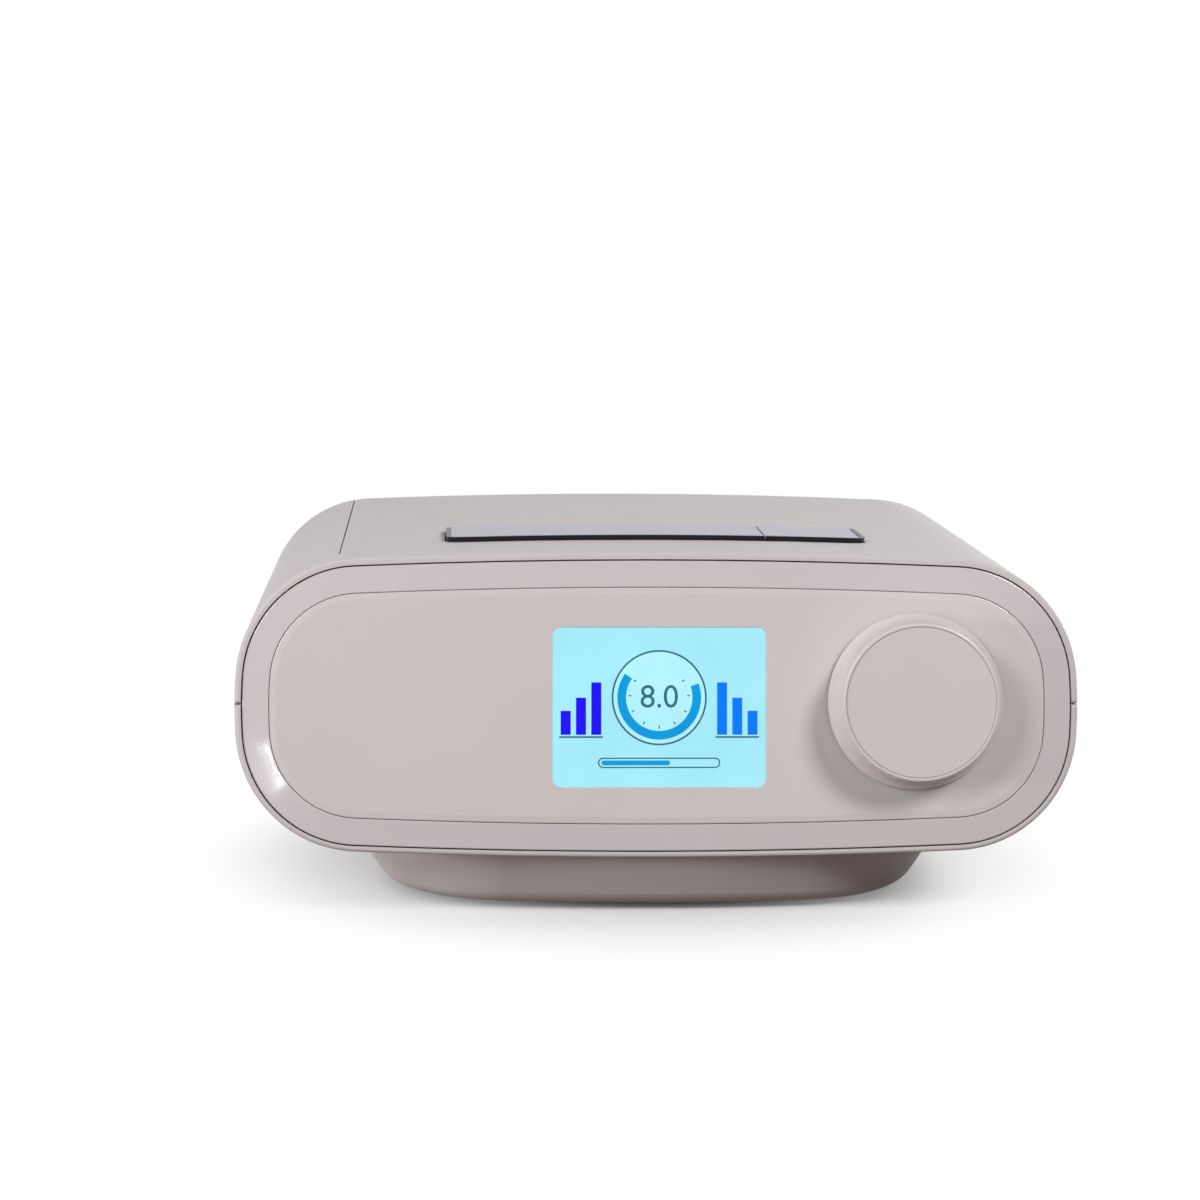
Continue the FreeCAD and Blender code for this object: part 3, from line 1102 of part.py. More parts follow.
def outlet():
    wall_out, nose, lip = "recess_radius + outlet_wall", "outlet_seat - 2 - spigot_length", "rear_y - wall"
    flange, back = f"{wall_out} + outlet_flange", "rear_y - 0.2"
    on_outlet("air_outlet",
              (nose, "outlet_bore"), ("outlet_tip", "outlet_bore"), ("outlet_tip", "outlet_radius - 0.6"),
              ("outlet_tip - 0.6", "outlet_radius"), ("outlet_seat", "outlet_radius"),
              ("outlet_seat", "recess_radius"), (back, "recess_radius"), (back, wall_out),
              (f"{lip} - 0.1", wall_out), (f"{lip} - 0.1", flange), (f"{lip} - 2", flange),
              (f"{lip} - 2", wall_out), ("outlet_seat - 2", wall_out), ("outlet_seat - 2", "spigot_radius"),
              (nose, "spigot_radius"))
    front, rear = "blower_y + duct_end + 2.5", "outlet_seat - 2.2"
    inner, outer = "spigot_radius + 0.1", "spigot_radius + 0.1 + boot_wall"
    third = f"(({rear}) - ({front})) / 3"
    on_outlet("outlet_boot",
              (front, inner), (f"{front} + {third}", inner), (f"{front} + {third} * 1.5", f"{inner} + 1.8"),
              (f"{front} + {third} * 2", inner), (rear, inner), (rear, outer),
              (f"{front} + {third} * 2.2", outer), (f"{front} + {third} * 1.5", f"{outer} + 2.1"),
              (f"{front} + {third} * 0.8", outer), (front, outer))


def flow_sensor():
    piece = Piece("flow_sensor")
    roof, end = "scroll_top + scroll_wall", "blower_y + duct_end"
    piece.pad("XY", f"{roof} + 0.02", f"{roof} + 6", round_rect(
        "outlet_x - 6", f"{end} - 15", "outlet_x + 6", f"{end} - 2", "1"))
    for y in (f"{end} - 11", f"{end} - 6"):
        piece.pad("XY", f"{roof} + 5", f"{roof} + 9", circle("outlet_x", y, "1.2"))


# ---------------------------------------------------------------- rear fittings, feet and screws
def power_inlet():
    piece = Piece("power_inlet")
    inside = "rear_y - wall - 0.05"
    deep = f"{inside} - jack_depth"
    piece.pad("XZ", deep, inside, rect("jack_x - jack_body", "jack_z - jack_body",
                                       "jack_x + jack_body", "jack_z + jack_body"))
    piece.pad("XZ", f"{inside} - 1", "rear_y - 0.3", circle("jack_x", "jack_z", "jack_bore + jack_wall"))
    piece.pocket("XZ", f"{deep} + 2", BEHIND, circle("jack_x", "jack_z", "jack_bore"))
    piece.pad("XZ", f"{deep} + 1", "rear_y - 2", circle("jack_x", "jack_z", "jack_pin"))


def module_cover():
    piece = Piece("module_cover")
    inside, grip = "rear_y - wall - 0.05", "cover_z - cover_height / 2 + 3.4"
    piece.pad("XZ", f"{inside} - 1.4", "rear_y - 0.1", cover_plan("0"))
    piece.pad("XZ", f"{inside} - 1.4", inside, cover_plan("cover_flange"))
    piece.pocket("XZ", "rear_y - 1.2", BEHIND, slot("cover_x - 6", grip, "cover_x + 6", grip, "2"))


def rubber_feet():
    piece = Piece("rubber_feet")
    for x, y in pad_places():
        piece.pad("XY", "0", "foot_lift + pad_sink", circle(x, y, "pad_radius"))
    piece.soften(level(0.0), "0.5", "Chamfer")


def housing_screws():
    piece = Piece("housing_screws")
    for x, y in columns():
        piece.pad("XY", "head_seat - head_height", "head_seat", circle(x, y, "head_radius - 0.2"))
        piece.pad("XY", "head_seat - 1", "thread_end", circle(x, y, "thread_radius - 0.02"))
        piece.pocket("XY", "head_seat - 3", "head_seat - head_height / 2", circle(x, y, "drive_radius"))


# ---------------------------------------------------------------- the machine
for make in (lower_housing, upper_housing, front_bezel, fascia_panel, display_window, display_module,
             display_board, board_screws, dial, encoder, top_keys, main_board, card_and_socket,
             side_door, door_pin, filter_bay, pollen_filter, blower_base, blower_cover, blower_spigot,
             impeller, motor, blower_mounts, intake, outlet, flow_sensor, power_inlet, module_cover,
             rubber_feet, housing_screws):
    make()
doc.recompute()

faults = []
for item in doc.Objects:
    if {"Invalid", "Error"} & set(item.State):
        faults.append(f"{item.Name} ({item.Label}) did not compute")
for body in pieces:
    if body.Shape.isNull() or not body.Shape.isValid():
        faults.append(f"{body.Label} has no valid shape")
if faults:
    raise RuntimeError("; ".join(faults))
for body in pieces:
    body.Shape.exportStep(f"parts/{body.Label}.step")
print(len(pieces), "pieces written")
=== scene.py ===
"""Bedside CPAP machine: camera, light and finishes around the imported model, in metres."""
import json
import math

import bmesh
import bpy
from mathutils import Matrix, Vector, noise


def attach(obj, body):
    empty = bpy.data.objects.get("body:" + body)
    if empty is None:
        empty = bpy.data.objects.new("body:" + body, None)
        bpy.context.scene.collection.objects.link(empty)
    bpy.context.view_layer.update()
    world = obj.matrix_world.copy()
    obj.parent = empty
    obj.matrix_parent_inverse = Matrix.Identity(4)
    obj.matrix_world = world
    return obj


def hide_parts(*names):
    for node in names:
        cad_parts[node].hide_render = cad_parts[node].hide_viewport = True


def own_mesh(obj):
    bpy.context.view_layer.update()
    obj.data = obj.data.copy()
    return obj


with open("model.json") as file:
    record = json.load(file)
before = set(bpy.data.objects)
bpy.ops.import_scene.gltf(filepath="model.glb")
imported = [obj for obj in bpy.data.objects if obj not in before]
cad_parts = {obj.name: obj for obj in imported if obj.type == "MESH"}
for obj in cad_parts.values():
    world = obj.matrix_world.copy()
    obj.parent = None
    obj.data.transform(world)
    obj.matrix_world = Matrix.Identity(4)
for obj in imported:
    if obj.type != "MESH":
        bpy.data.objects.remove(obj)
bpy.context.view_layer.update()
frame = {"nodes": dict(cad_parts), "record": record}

NODES = frame["nodes"]
SCENE = bpy.context.scene
MM = 0.001
UP = Vector((0.0, 0.0, 1.0))
WHITE = (1.0, 1.0, 1.0, 1.0)


def add(obj):
    SCENE.collection.objects.link(obj)
    return obj


def placed(at, x_axis, y_axis, z_axis):
    """The matrix that puts a thing at a point, with its own axes along these."""
    return Matrix.Translation(at) @ Matrix((x_axis, y_axis, z_axis)).transposed().to_4x4()


def finished_mesh(obj):
    """A new mesh of an object as its modifiers or its text shape it."""
    bpy.context.view_layer.update()
    return bpy.data.meshes.new_from_object(obj.evaluated_get(bpy.context.evaluated_depsgraph_get()))


def mesh_data(name, mesh):
    """A bmesh as mesh data. The bmesh is freed."""
    data = bpy.data.meshes.new(name)
    mesh.to_mesh(data)
    mesh.free()
    return data


def dress(data, material):
    """Give the whole of a mesh this one material. Clearing the others sets every face's index to 0."""
    data.materials.clear()
    data.materials.append(material)


# ---------------------------------------------------------------- camera
# fitted to the outlines of the casing, the ring, the screen, the keys and the foot in the photograph
SENSOR = 36.0
FOCAL_PIXELS, IMAGE_PIXELS = 2975.0, 1200.0
CAMERA_AT = Vector((-0.04933, -0.73403, 0.16526))
CAMERA_YAW, CAMERA_PITCH, CAMERA_ROLL = (math.radians(a) for a in (2.136, 7.799, 0.349))
CAMERA_SHIFT = 0.04
CLIP_START, CLIP_END = 0.02, 20.0


def make_camera():
    data = bpy.data.cameras.new("camera")
    data.sensor_width = SENSOR
    data.lens = FOCAL_PIXELS / IMAGE_PIXELS * SENSOR
    data.shift_x = CAMERA_SHIFT
    data.clip_start, data.clip_end = CLIP_START, CLIP_END
    ahead = Vector((math.sin(CAMERA_YAW) * math.cos(CAMERA_PITCH),
                    math.cos(CAMERA_YAW) * math.cos(CAMERA_PITCH), -math.sin(CAMERA_PITCH)))
    level = Vector((math.cos(CAMERA_YAW), -math.sin(CAMERA_YAW), 0.0))
    up = level.cross(ahead)
    right = level * math.cos(CAMERA_ROLL) + up * math.sin(CAMERA_ROLL)
    up = up * math.cos(CAMERA_ROLL) - level * math.sin(CAMERA_ROLL)
    cam = add(bpy.data.objects.new("camera", data))
    cam.matrix_world = placed(CAMERA_AT, right, up, -ahead)
    SCENE.camera = cam


make_camera()


# ---------------------------------------------------------------- materials
BEVEL_SAMPLES = 4
# cosine between the true and the rounded normal, where wear begins and where it is full
WEAR_STARTS, WEAR_FULL = 0.995, 0.86


def srgb(red, green, blue):
    """A colour written as it shows, 0 to 255, as a linear colour."""
    def line(value):
        value /= 255.0
        return value / 12.92 if value <= 0.04045 else ((value + 0.055) / 1.055) ** 2.4
    return line(red), line(green), line(blue), 1.0


def shade(colour, factor):
    return tuple(c * factor for c in colour[:3]) + (1.0,)


class Graph:
    """A material and short ways to add nodes to it."""

    def __init__(self, name):
        self.material = bpy.data.materials.new(name)
        self.material.use_nodes = True
        self.tree = self.material.node_tree
        self.tree.nodes.clear()
        self.place = self.node("TexCoord").outputs["Object"]

    def node(self, kind, inputs=None, **settings):
        made = self.tree.nodes.new("ShaderNode" + kind)
        for key, value in settings.items():
            setattr(made, key, value)
        for key, value in (inputs or {}).items():
            if isinstance(value, bpy.types.NodeSocket):
                self.tree.links.new(value, made.inputs[key])
            else:
                made.inputs[key].default_value = value
        return made

    def noise(self, size, detail=2.0, rough=0.5):
        """Noise whose features are about so many metres large."""
        return self.node("TexNoise", {"Vector": self.place, "Scale": 1.0 / size, "Detail": detail,
                                      "Roughness": rough}).outputs["Fac"]

    def cells(self, size):
        """The distance to the middle of the nearest of many scattered cells."""
        return self.node("TexVoronoi", {"Vector": self.place, "Scale": 1.0 / size}).outputs["Distance"]

    def spread(self, value, low=0.0, high=1.0, start=0.0, end=1.0):
        """The value, mapped from start..end to low..high and held inside them."""
        return self.node("MapRange", {"Value": value, "From Min": start, "From Max": end,
                                      "To Min": low, "To Max": high}).outputs["Result"]

    def maths(self, operation, first, second):
        return self.node("Math", {0: first, 1: second}, operation=operation).outputs[0]

    def blend(self, share, first, second):
        """A colour between two others."""
        return self.node("Mix", {0: share, 6: first, 7: second}, data_type="RGBA").outputs[2]

    def mix(self, share, first, second):
        """A shader between two others."""
        return self.node("MixShader", {0: share, 1: first, 2: second}).outputs[0]

    def worn(self, radius):
        """Normal that rounds sharp edges, and how much of an edge a point is."""
        soft = self.node("Bevel", {"Radius": radius}, samples=BEVEL_SAMPLES).outputs["Normal"]
        plain = self.node("NewGeometry").outputs["Normal"]
        same = self.node("VectorMath", {0: soft, 1: plain}, operation="DOT_PRODUCT").outputs["Value"]
        return soft, self.spread(same, start=WEAR_STARTS, end=WEAR_FULL)

    def bump(self, height, depth, normal=None):
        inputs = {"Height": height, "Distance": depth, "Strength": 1.0}
        if normal is not None:
            inputs["Normal"] = normal
        return self.node("Bump", inputs).outputs["Normal"]

    def emission(self, colour):
        return self.node("Emission", {"Color": colour, "Strength": 1.0}).outputs[0]

    def shown(self, shader):
        """The material, with this shader as its surface."""
        self.node("OutputMaterial", {"Surface": shader})
        return self.material

    def surface(self, inputs):
        return self.shown(self.node("BsdfPrincipled", inputs).outputs[0])


# plastic: the drift of tone, the patches of gloss, the grain's hollows and the rubbed edges
DRIFT_SIZE, DRIFT = 38 * MM, 0.04
PATCH_SIZE, PATCH_GLOSSIER, PATCH_DULLER = 7 * MM, 0.06, 0.07
HOLLOW_SHADE = 0.96
RUBBED_SHARE, RUBBED_SHADE, RUBBED_POLISH = 0.35, 1.06, 0.08


def plastic(name, colour, rough, grain=0.3 * MM, bite=0.006 * MM, edge=0.08 * MM,
            coat=0.0, coat_rough=0.05, specular=0.5):
    """Moulded plastic: spark-eroded grain, slow drift of tone, and edges polished by handling."""
    g = Graph(name)
    normal, wear = g.worn(edge)
    drift = g.noise(DRIFT_SIZE, detail=3.0)
    fine = g.noise(grain, rough=0.6)
    hollows = g.spread(fine, high=0.5, start=0.35, end=0.75)
    tone = g.blend(drift, shade(colour, 1 - DRIFT), shade(colour, 1 + DRIFT))
    tone = g.blend(hollows, tone, shade(colour, HOLLOW_SHADE))
    tone = g.blend(g.maths("MULTIPLY", wear, RUBBED_SHARE), tone, shade(colour, RUBBED_SHADE))
    patch = g.spread(g.noise(PATCH_SIZE, detail=3.0), rough - PATCH_GLOSSIER, rough + PATCH_DULLER)
    rough_now = g.maths("SUBTRACT", patch, g.maths("MULTIPLY", wear, RUBBED_POLISH))
    inputs = {"Base Color": tone, "Roughness": rough_now, "Normal": g.bump(fine, bite, normal),
              "IOR": 1.5, "Specular IOR Level": specular}
    if coat:
        inputs.update({"Coat Weight": coat, "Coat Roughness": coat_rough})
    return g.surface(inputs)


def metal(name, colour, rough):
    """Plain metal with fine scratches and a little tarnish."""
    g = Graph(name)
    normal, wear = g.worn(0.12 * MM)
    scratches = g.noise(0.25 * MM, detail=3.0, rough=0.6)
    tarnish = g.spread(g.noise(6 * MM, detail=4.0), start=0.35, end=0.75)
    tone = g.blend(tarnish, colour, shade(colour, 0.8))
    tone = g.blend(g.maths("MULTIPLY", wear, 0.5), tone, shade(colour, 1.15))
    rough_now = g.spread(scratches, rough - 0.06, rough + 0.1, start=0.3, end=0.7)
    return g.surface({"Base Color": tone, "Roughness": rough_now, "Metallic": 1.0,
                      "Normal": g.bump(scratches, 0.003 * MM, normal)})


def rubber(name, colour, rough, see_through=0.0):
    """Moulded rubber: a matt grain, a cloudy tone, and paler edges."""
    g = Graph(name)
    normal, wear = g.worn(0.3 * MM)
    fine = g.noise(0.5 * MM, detail=3.0, rough=0.7)
    cloud = g.spread(g.noise(9 * MM, detail=3.0), start=0.3, end=0.7)
    tone = g.blend(cloud, shade(colour, 0.88), shade(colour, 1.1))
    tone = g.blend(g.maths("MULTIPLY", wear, 0.5), tone, shade(colour, 1.3))
    inputs = {"Base Color": tone, "Roughness": g.spread(fine, rough - 0.08, rough + 0.08),
              "Normal": g.bump(fine, 0.02 * MM, normal), "IOR": 1.45}
    if see_through:
        inputs["Subsurface Weight"] = see_through
        inputs["Subsurface Radius"] = (2 * MM, 2 * MM, 2 * MM)
    return g.surface(inputs)


def foam(name, colour, dust_colour):
    """Open-cell foam: cells painted dark as shaded hollows between struts painted paler as lit, with a
    little dust.
    """
    g = Graph(name)
    strut = g.spread(g.cells(0.9 * MM), start=0.15, end=0.75)
    dust = g.spread(g.noise(11 * MM, detail=4.0), high=0.25, start=0.5, end=0.8)
    # painted shade darkens the cells' middles and a painted highlight lightens the struts
    tone = g.blend(strut, shade(colour, 0.45), shade(colour, 1.35))
    tone = g.blend(dust, tone, dust_colour)
    return g.surface({"Base Color": tone, "Roughness": 0.95, "Specular IOR Level": 0.2,
                      "Normal": g.bump(strut, 0.35 * MM)})


def circuit_board(name, colour, pad_colour):
    """Solder mask over copper tracks, with bare plated pads."""
    g = Graph(name)
    normal, _ = g.worn(0.1 * MM)
    brick = g.node("TexBrick", {"Vector": g.place, "Scale": 260.0, "Mortar Size": 0.06,
                                "Color1": (0, 0, 0, 1), "Color2": (0.35, 0.35, 0.35, 1),
                                "Mortar": WHITE}).outputs["Color"]
    track = g.node("RGBToBW", {"Color": brick}).outputs[0]
    pads = g.spread(g.cells(3.1 * MM), 1.0, 0.0, start=0.12, end=0.16)
    tone = g.blend(track, shade(colour, 0.8), shade(colour, 1.5))
    tone = g.blend(pads, tone, pad_colour)
    return g.surface({"Base Color": tone, "Roughness": g.spread(pads, 0.42, 0.25),
                      "Metallic": pads, "Normal": g.bump(track, 0.02 * MM, normal)})


def windings(name, colour):
    """Enamelled copper wire, wound in fine turns, with painted shade between the turns and a painted
    highlight on their crowns.
    """
    g = Graph(name)
    wave = g.node("TexWave", {"Vector": g.place, "Scale": 700.0, "Distortion": 0.6, "Detail": 1.0},
                  bands_direction="Z").outputs["Fac"]
    # painted shade in the grooves between turns, painted highlight on their crowns
    tone = g.blend(wave, shade(colour, 0.5), shade(colour, 1.3))
    return g.surface({"Base Color": tone, "Metallic": 0.85, "Roughness": g.spread(wave, 0.45, 0.25),
                      "Normal": g.bump(wave, 0.12 * MM)})


# lower than glass, because the photograph's screen hardly mirrors anything
PANE_IOR = 1.2


def clear_pane(name):
    """Thin clear pane: a coat of gloss over whatever lies behind it."""
    g = Graph(name)
    haze = g.spread(g.noise(12 * MM, detail=4.0), 0.015, 0.05, start=0.35, end=0.7)
    clear = g.node("BsdfTransparent", {"Color": WHITE}).outputs[0]
    gloss = g.node("BsdfGlossy", {"Color": WHITE, "Roughness": haze}).outputs[0]
    outside = g.maths("SUBTRACT", 1.0, g.node("NewGeometry").outputs["Backfacing"])
    share = g.maths("MULTIPLY", g.node("Fresnel", {"IOR": PANE_IOR}).outputs[0], outside)
    return g.shown(g.mix(share, clear, gloss))


FINISHES = {
    "casing": plastic("casing", srgb(213, 206, 206), 0.5, bite=0.003 * MM, specular=0.12),
    # the ring's grey is darker than the panel's: partly its own colour, partly painted shade standing for
    # the shade on its sloping face
    "ring": plastic("ring", srgb(207, 199, 200), 0.22, bite=0.0015 * MM, edge=0.03 * MM, coat=0.8,
                    coat_rough=0.08),
    "panel": plastic("panel", srgb(214, 207, 206), 0.36, bite=0.003 * MM, edge=0.03 * MM, coat=0.3,
                     coat_rough=0.06),
    "dial": plastic("dial", srgb(215, 207, 207), 0.32, bite=0.002 * MM, coat=0.4, coat_rough=0.2),
    "key": plastic("key", srgb(200, 197, 209), 0.45, specular=0.12),
    # near-black: partly the trim's own dark finish, partly a painted dark reflection, as of a dark room
    # mirrored in its polish
    "trim": plastic("trim", srgb(14, 14, 26), 0.3, bite=0.001 * MM, specular=0.25),
    "window": clear_pane("window"),
    "screen": plastic("screen", srgb(30, 32, 36), 0.45),
    "foot_rubber": rubber("foot_rubber", srgb(52, 52, 54), 0.75),
    "silicone": rubber("silicone", srgb(196, 198, 202), 0.5, see_through=0.3),
    "inner": plastic("inner", srgb(196, 198, 202), 0.45, grain=0.4 * MM, bite=0.01 * MM),
    "wheel": plastic("wheel", srgb(226, 226, 222), 0.4),
    "component": plastic("component", srgb(38, 38, 42), 0.55, grain=0.2 * MM, bite=0.01 * MM),
    "card": plastic("card", srgb(44, 70, 116), 0.42),
    "metal": metal("metal", srgb(196, 197, 200), 0.3),
    "brass": metal("brass", srgb(206, 172, 104), 0.3),
    "magnet": metal("magnet", srgb(92, 92, 96), 0.45),
    "coil": windings("coil", srgb(186, 112, 62)),
    "board": circuit_board("board", srgb(28, 92, 58), srgb(205, 180, 120)),
    "foam": foam("foam", srgb(70, 76, 84), srgb(176, 172, 168)),
}

SLOTS = {part["node"]: part["material_slot"] for part in frame["record"]["subparts"]}

for packed_node, its_slot in SLOTS.items():
    dress(NODES[packed_node].data, FINISHES[its_slot])


# ---------------------------------------------------------------- foam
FOAM_VOXEL, FOAM_CELL, FOAM_DEPTH = 0.5 * MM, 1.6 * MM, 0.35 * MM
# how much nearer the nearest cell's middle is than the next one's, in cells, where a strut ends
FOAM_STRUT = 0.12


def foam_piece(node):
    """Open-cell foam in place of a plain block: every cell that meets a face is a small hollow in it."""
    piece = add(bpy.data.objects.new(node + "_cells", NODES[node].data.copy()))
    remesh = piece.modifiers.new("remesh", "REMESH")
    remesh.mode, remesh.voxel_size, remesh.use_smooth_shade = "VOXEL", FOAM_VOXEL, True
    data = finished_mesh(piece)
    piece.modifiers.clear()
    normals = [v.normal.copy() for v in data.vertices]
    for vertex, normal in zip(data.vertices, normals):
        near = noise.voronoi(vertex.co / FOAM_CELL)[0]
        strut = 1.0 - min(1.0, (near[1] - near[0]) / FOAM_STRUT)
        vertex.co -= normal * FOAM_DEPTH * (1.0 - strut)
    dress(data, FINISHES["foam"])
    piece.data = data
    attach(piece, "root")
    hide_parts(node)


for foam_node in ("pollen_filter", "muffler_foam"):
    foam_piece(foam_node)


# ---------------------------------------------------------------- the leaning face
LEAN = math.radians(8.0)
ACROSS = Vector((1.0, 0.0, 0.0))
UPWARD = Vector((0.0, math.sin(LEAN), math.cos(LEAN)))
OUTWARD = Vector((0.0, -math.cos(LEAN), math.sin(LEAN)))


def reach(node, direction):
    """How far a node goes along a direction."""
    return max(direction.dot(v.co) for v in NODES[node].data.vertices)


def span(node, direction):
    """The middle of a node along a direction, and half its size."""
    ahead, back = reach(node, direction), reach(node, -direction)
    return (ahead - back) / 2, (ahead + back) / 2


# ---------------------------------------------------------------- pieces that the keys and the dial squeeze
# the split lies between the two keys, at this place along X
KEYPAD_SPLIT = 14.0 * MM
WELD = 0.001 * MM


def keep_half(mesh, side):
    """Cut the keypad at its split and close it: -1 keeps the left half, 1 the right."""
    bmesh.ops.remove_doubles(mesh, verts=mesh.verts, dist=WELD)
    cut = bmesh.ops.bisect_plane(mesh, geom=mesh.verts[:] + mesh.edges[:] + mesh.faces[:], dist=WELD,
                                 plane_co=(KEYPAD_SPLIT, 0.0, 0.0), plane_no=(side, 0.0, 0.0),
                                 clear_inner=True)
    rim = [e for e in cut["geom_cut"] if isinstance(e, bmesh.types.BMEdge)]
    bmesh.ops.triangle_fill(mesh, edges=rim, use_beauty=True)


def squeezed(name, node, side=0):
    """A copy of a springy node, or of its left (-1) or right (1) half, in place of the node, which is
    hidden.
    """
    mesh = bmesh.new()
    mesh.from_mesh(NODES[node].data)
    if side:
        keep_half(mesh, side)
    data = mesh_data(name, mesh)
    dress(data, FINISHES[SLOTS[node]])
    piece = add(bpy.data.objects.new(name, data))
    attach(piece, "root")
    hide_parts(node)
    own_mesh(piece)


squeezed("keypad_start", "button_keypad", -1)
squeezed("keypad_ramp", "button_keypad", 1)
squeezed("dome_pressed", "encoder_dome")


# ---------------------------------------------------------------- screen picture
PIXEL_HALF, PIXEL_EDGE = 0.075 * MM, 0.02 * MM


def glow(name, colour):
    """A lit colour of the screen, broken by the fine grid of its picture elements."""
    g = Graph(name)
    place = g.node("SeparateXYZ", {"Vector": g.place}).outputs
    grid = g.maths("MINIMUM", *(g.maths("PINGPONG", place[axis], PIXEL_HALF) for axis in ("X", "Z")))
    level = g.spread(grid, 0.9, 1.03, end=PIXEL_EDGE)
    drift = g.spread(g.noise(16 * MM), 0.96, 1.03, start=0.3, end=0.7)
    tone = g.node("VectorMath", {0: colour[:3], 3: g.maths("MULTIPLY", level, drift)},
                  operation="SCALE").outputs[0]
    return g.shown(g.emission(tone))


SCREEN_TONES = {"sky": srgb(168, 237, 252), "ink": srgb(52, 112, 130), "blue": srgb(4, 156, 226),
                "violet": srgb(32, 6, 250), "azure": srgb(0, 123, 252), "pale": srgb(180, 244, 254)}
SCREEN_MATERIALS = [glow("screen_" + name, colour) for name, colour in SCREEN_TONES.items()]
SKY, INK, BLUE, VIOLET, AZURE, PALE = range(len(SCREEN_MATERIALS))

# the picture lies this far behind the window's back, and its layers this far apart
PICTURE_BEHIND, LAYER = 0.085 * MM, 0.02 * MM
PICTURE_AT = -reach("display_window", -OUTWARD) - PICTURE_BEHIND
GROUND, PLATE, MARK, FIGURES = range(4)
WINDOW_X, WINDOW_HALF_X = span("display_window", ACROSS)
WINDOW_UP, WINDOW_HALF_UP = span("display_window", UPWARD)

# sizes on the page are in millimetres from the middle of the window, and turns in degrees
WINDOW_CORNER = 2.1
CORNER_STEPS, ARC_STEP, ARC_STEPS_LEAST, DISC_POINTS = 8, 4, 8, 30
GAUGE_UP = 2.2
GAUGE_PLATE = 10.6
GAUGE_LINE, GAUGE_LINE_WIDTH = 10.9, 0.42
GAUGE_BAND, GAUGE_BAND_WIDTH = 9.6, 2.0
GAUGE_FROM, GAUGE_SWEEP, GAUGE_READING = -215, 250, 20
TICKS, TICK_FROM, TICK_TO, TICK_HALF = 9, 7.1, 6.4, 0.2
BAR_HEIGHTS, BAR_FIRST, BAR_STEP, BAR_HALF, BAR_FOOT = (5.5, 8.5, 12.0), 21.4, 3.5, 1.15, -6.3
AXIS_ENDS, AXIS_FOOT, AXIS_TOP = (22.9, 12.9), -7.0, -6.6
TRACK, TRACK_CORNER, TRACK_LINE = (-14, -13.9, 14, -11.5), 1.15, 0.3
PROGRESS, PROGRESS_CORNER = (-13.2, -13.25, 2.5, -12.15), 0.5
READING, READING_SIZE = "8.0", 7.4 * MM


def on_window(x, y, layer):
    """A point of the page, on one of its layers."""
    return (ACROSS * (WINDOW_X + x * MM) + UPWARD * (WINDOW_UP + y * MM)
            + OUTWARD * (PICTURE_AT + layer * LAYER))


def arc_points(cx, cy, radius, start, end, steps):
    turns = [math.radians(start + (end - start) * i / steps) for i in range(steps + 1)]
    return [(cx + radius * math.cos(t), cy + radius * math.sin(t)) for t in turns]


def round_points(x0, y0, x1, y1, radius):
    """A rectangle with round corners."""
    points = []
    for cx, cy, start in ((x1 - radius, y1 - radius, 0), (x0 + radius, y1 - radius, 90),
                          (x0 + radius, y0 + radius, 180), (x1 - radius, y0 + radius, 270)):
        points += arc_points(cx, cy, radius, start, start + 90, CORNER_STEPS)
    return points


class Picture:
    """Flat lit shapes on the page, one layer above another."""

    def __init__(self):
        self.mesh = bmesh.new()

    def corners(self, points, layer):
        return [self.mesh.verts.new(on_window(x, y, layer)) for x, y in points]

    def shape(self, points, layer, colour):
        self.mesh.faces.new(self.corners(points, layer)).material_index = colour

    def box(self, x0, y0, x1, y1, layer, colour):
        self.shape([(x0, y0), (x1, y0), (x1, y1), (x0, y1)], layer, colour)

    def band(self, outer, inner, layer, colour):
        """The strip between two lines of equally many points."""
        a, b = self.corners(outer, layer), self.corners(inner, layer)
        for i in range(len(a) - 1):
            self.mesh.faces.new((a[i], a[i + 1], b[i + 1], b[i])).material_index = colour

    def ring(self, cx, cy, radius, width, layer, colour, start=0.0, end=360.0):
        steps = max(ARC_STEPS_LEAST, int(abs(end - start) / ARC_STEP))
        self.band(arc_points(cx, cy, radius, start, end, steps),
                  arc_points(cx, cy, radius - width, start, end, steps), layer, colour)

    def disc(self, cx, cy, radius, layer, colour):
        last = 360 - 360 / DISC_POINTS
        self.shape(arc_points(cx, cy, radius, 0, last, DISC_POINTS - 1), layer, colour)

    def outline(self, x0, y0, x1, y1, radius, width, layer, colour):
        outer = round_points(x0, y0, x1, y1, radius)
        inner = round_points(x0 + width, y0 + width, x1 - width, y1 - width, radius - width)
        self.band(outer + outer[:1], inner + inner[:1], layer, colour)

    def finish(self, name):
        bmesh.ops.recalc_face_normals(self.mesh, faces=self.mesh.faces)
        data = mesh_data(name, self.mesh)
        for material in SCREEN_MATERIALS:
            data.materials.append(material)
        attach(add(bpy.data.objects.new(name, data)), "root")


def draw_gauge(picture):
    picture.disc(0, GAUGE_UP, GAUGE_PLATE, PLATE, PALE)
    picture.ring(0, GAUGE_UP, GAUGE_LINE, GAUGE_LINE_WIDTH, MARK, INK)
    picture.ring(0, GAUGE_UP, GAUGE_BAND, GAUGE_BAND_WIDTH, MARK, BLUE, GAUGE_FROM, GAUGE_READING)
    for i in range(TICKS):
        turn = GAUGE_FROM + i * GAUGE_SWEEP / (TICKS - 1)
        (x0, y0), (x1, y1) = (arc_points(0, GAUGE_UP, r, turn, turn, 1)[0] for r in (TICK_FROM, TICK_TO))
        sx, sy = -(y1 - y0) * TICK_HALF, (x1 - x0) * TICK_HALF
        picture.shape([(x0 + sx, y0 + sy), (x1 + sx, y1 + sy), (x1 - sx, y1 - sy), (x0 - sx, y0 - sy)],
                      MARK, INK)


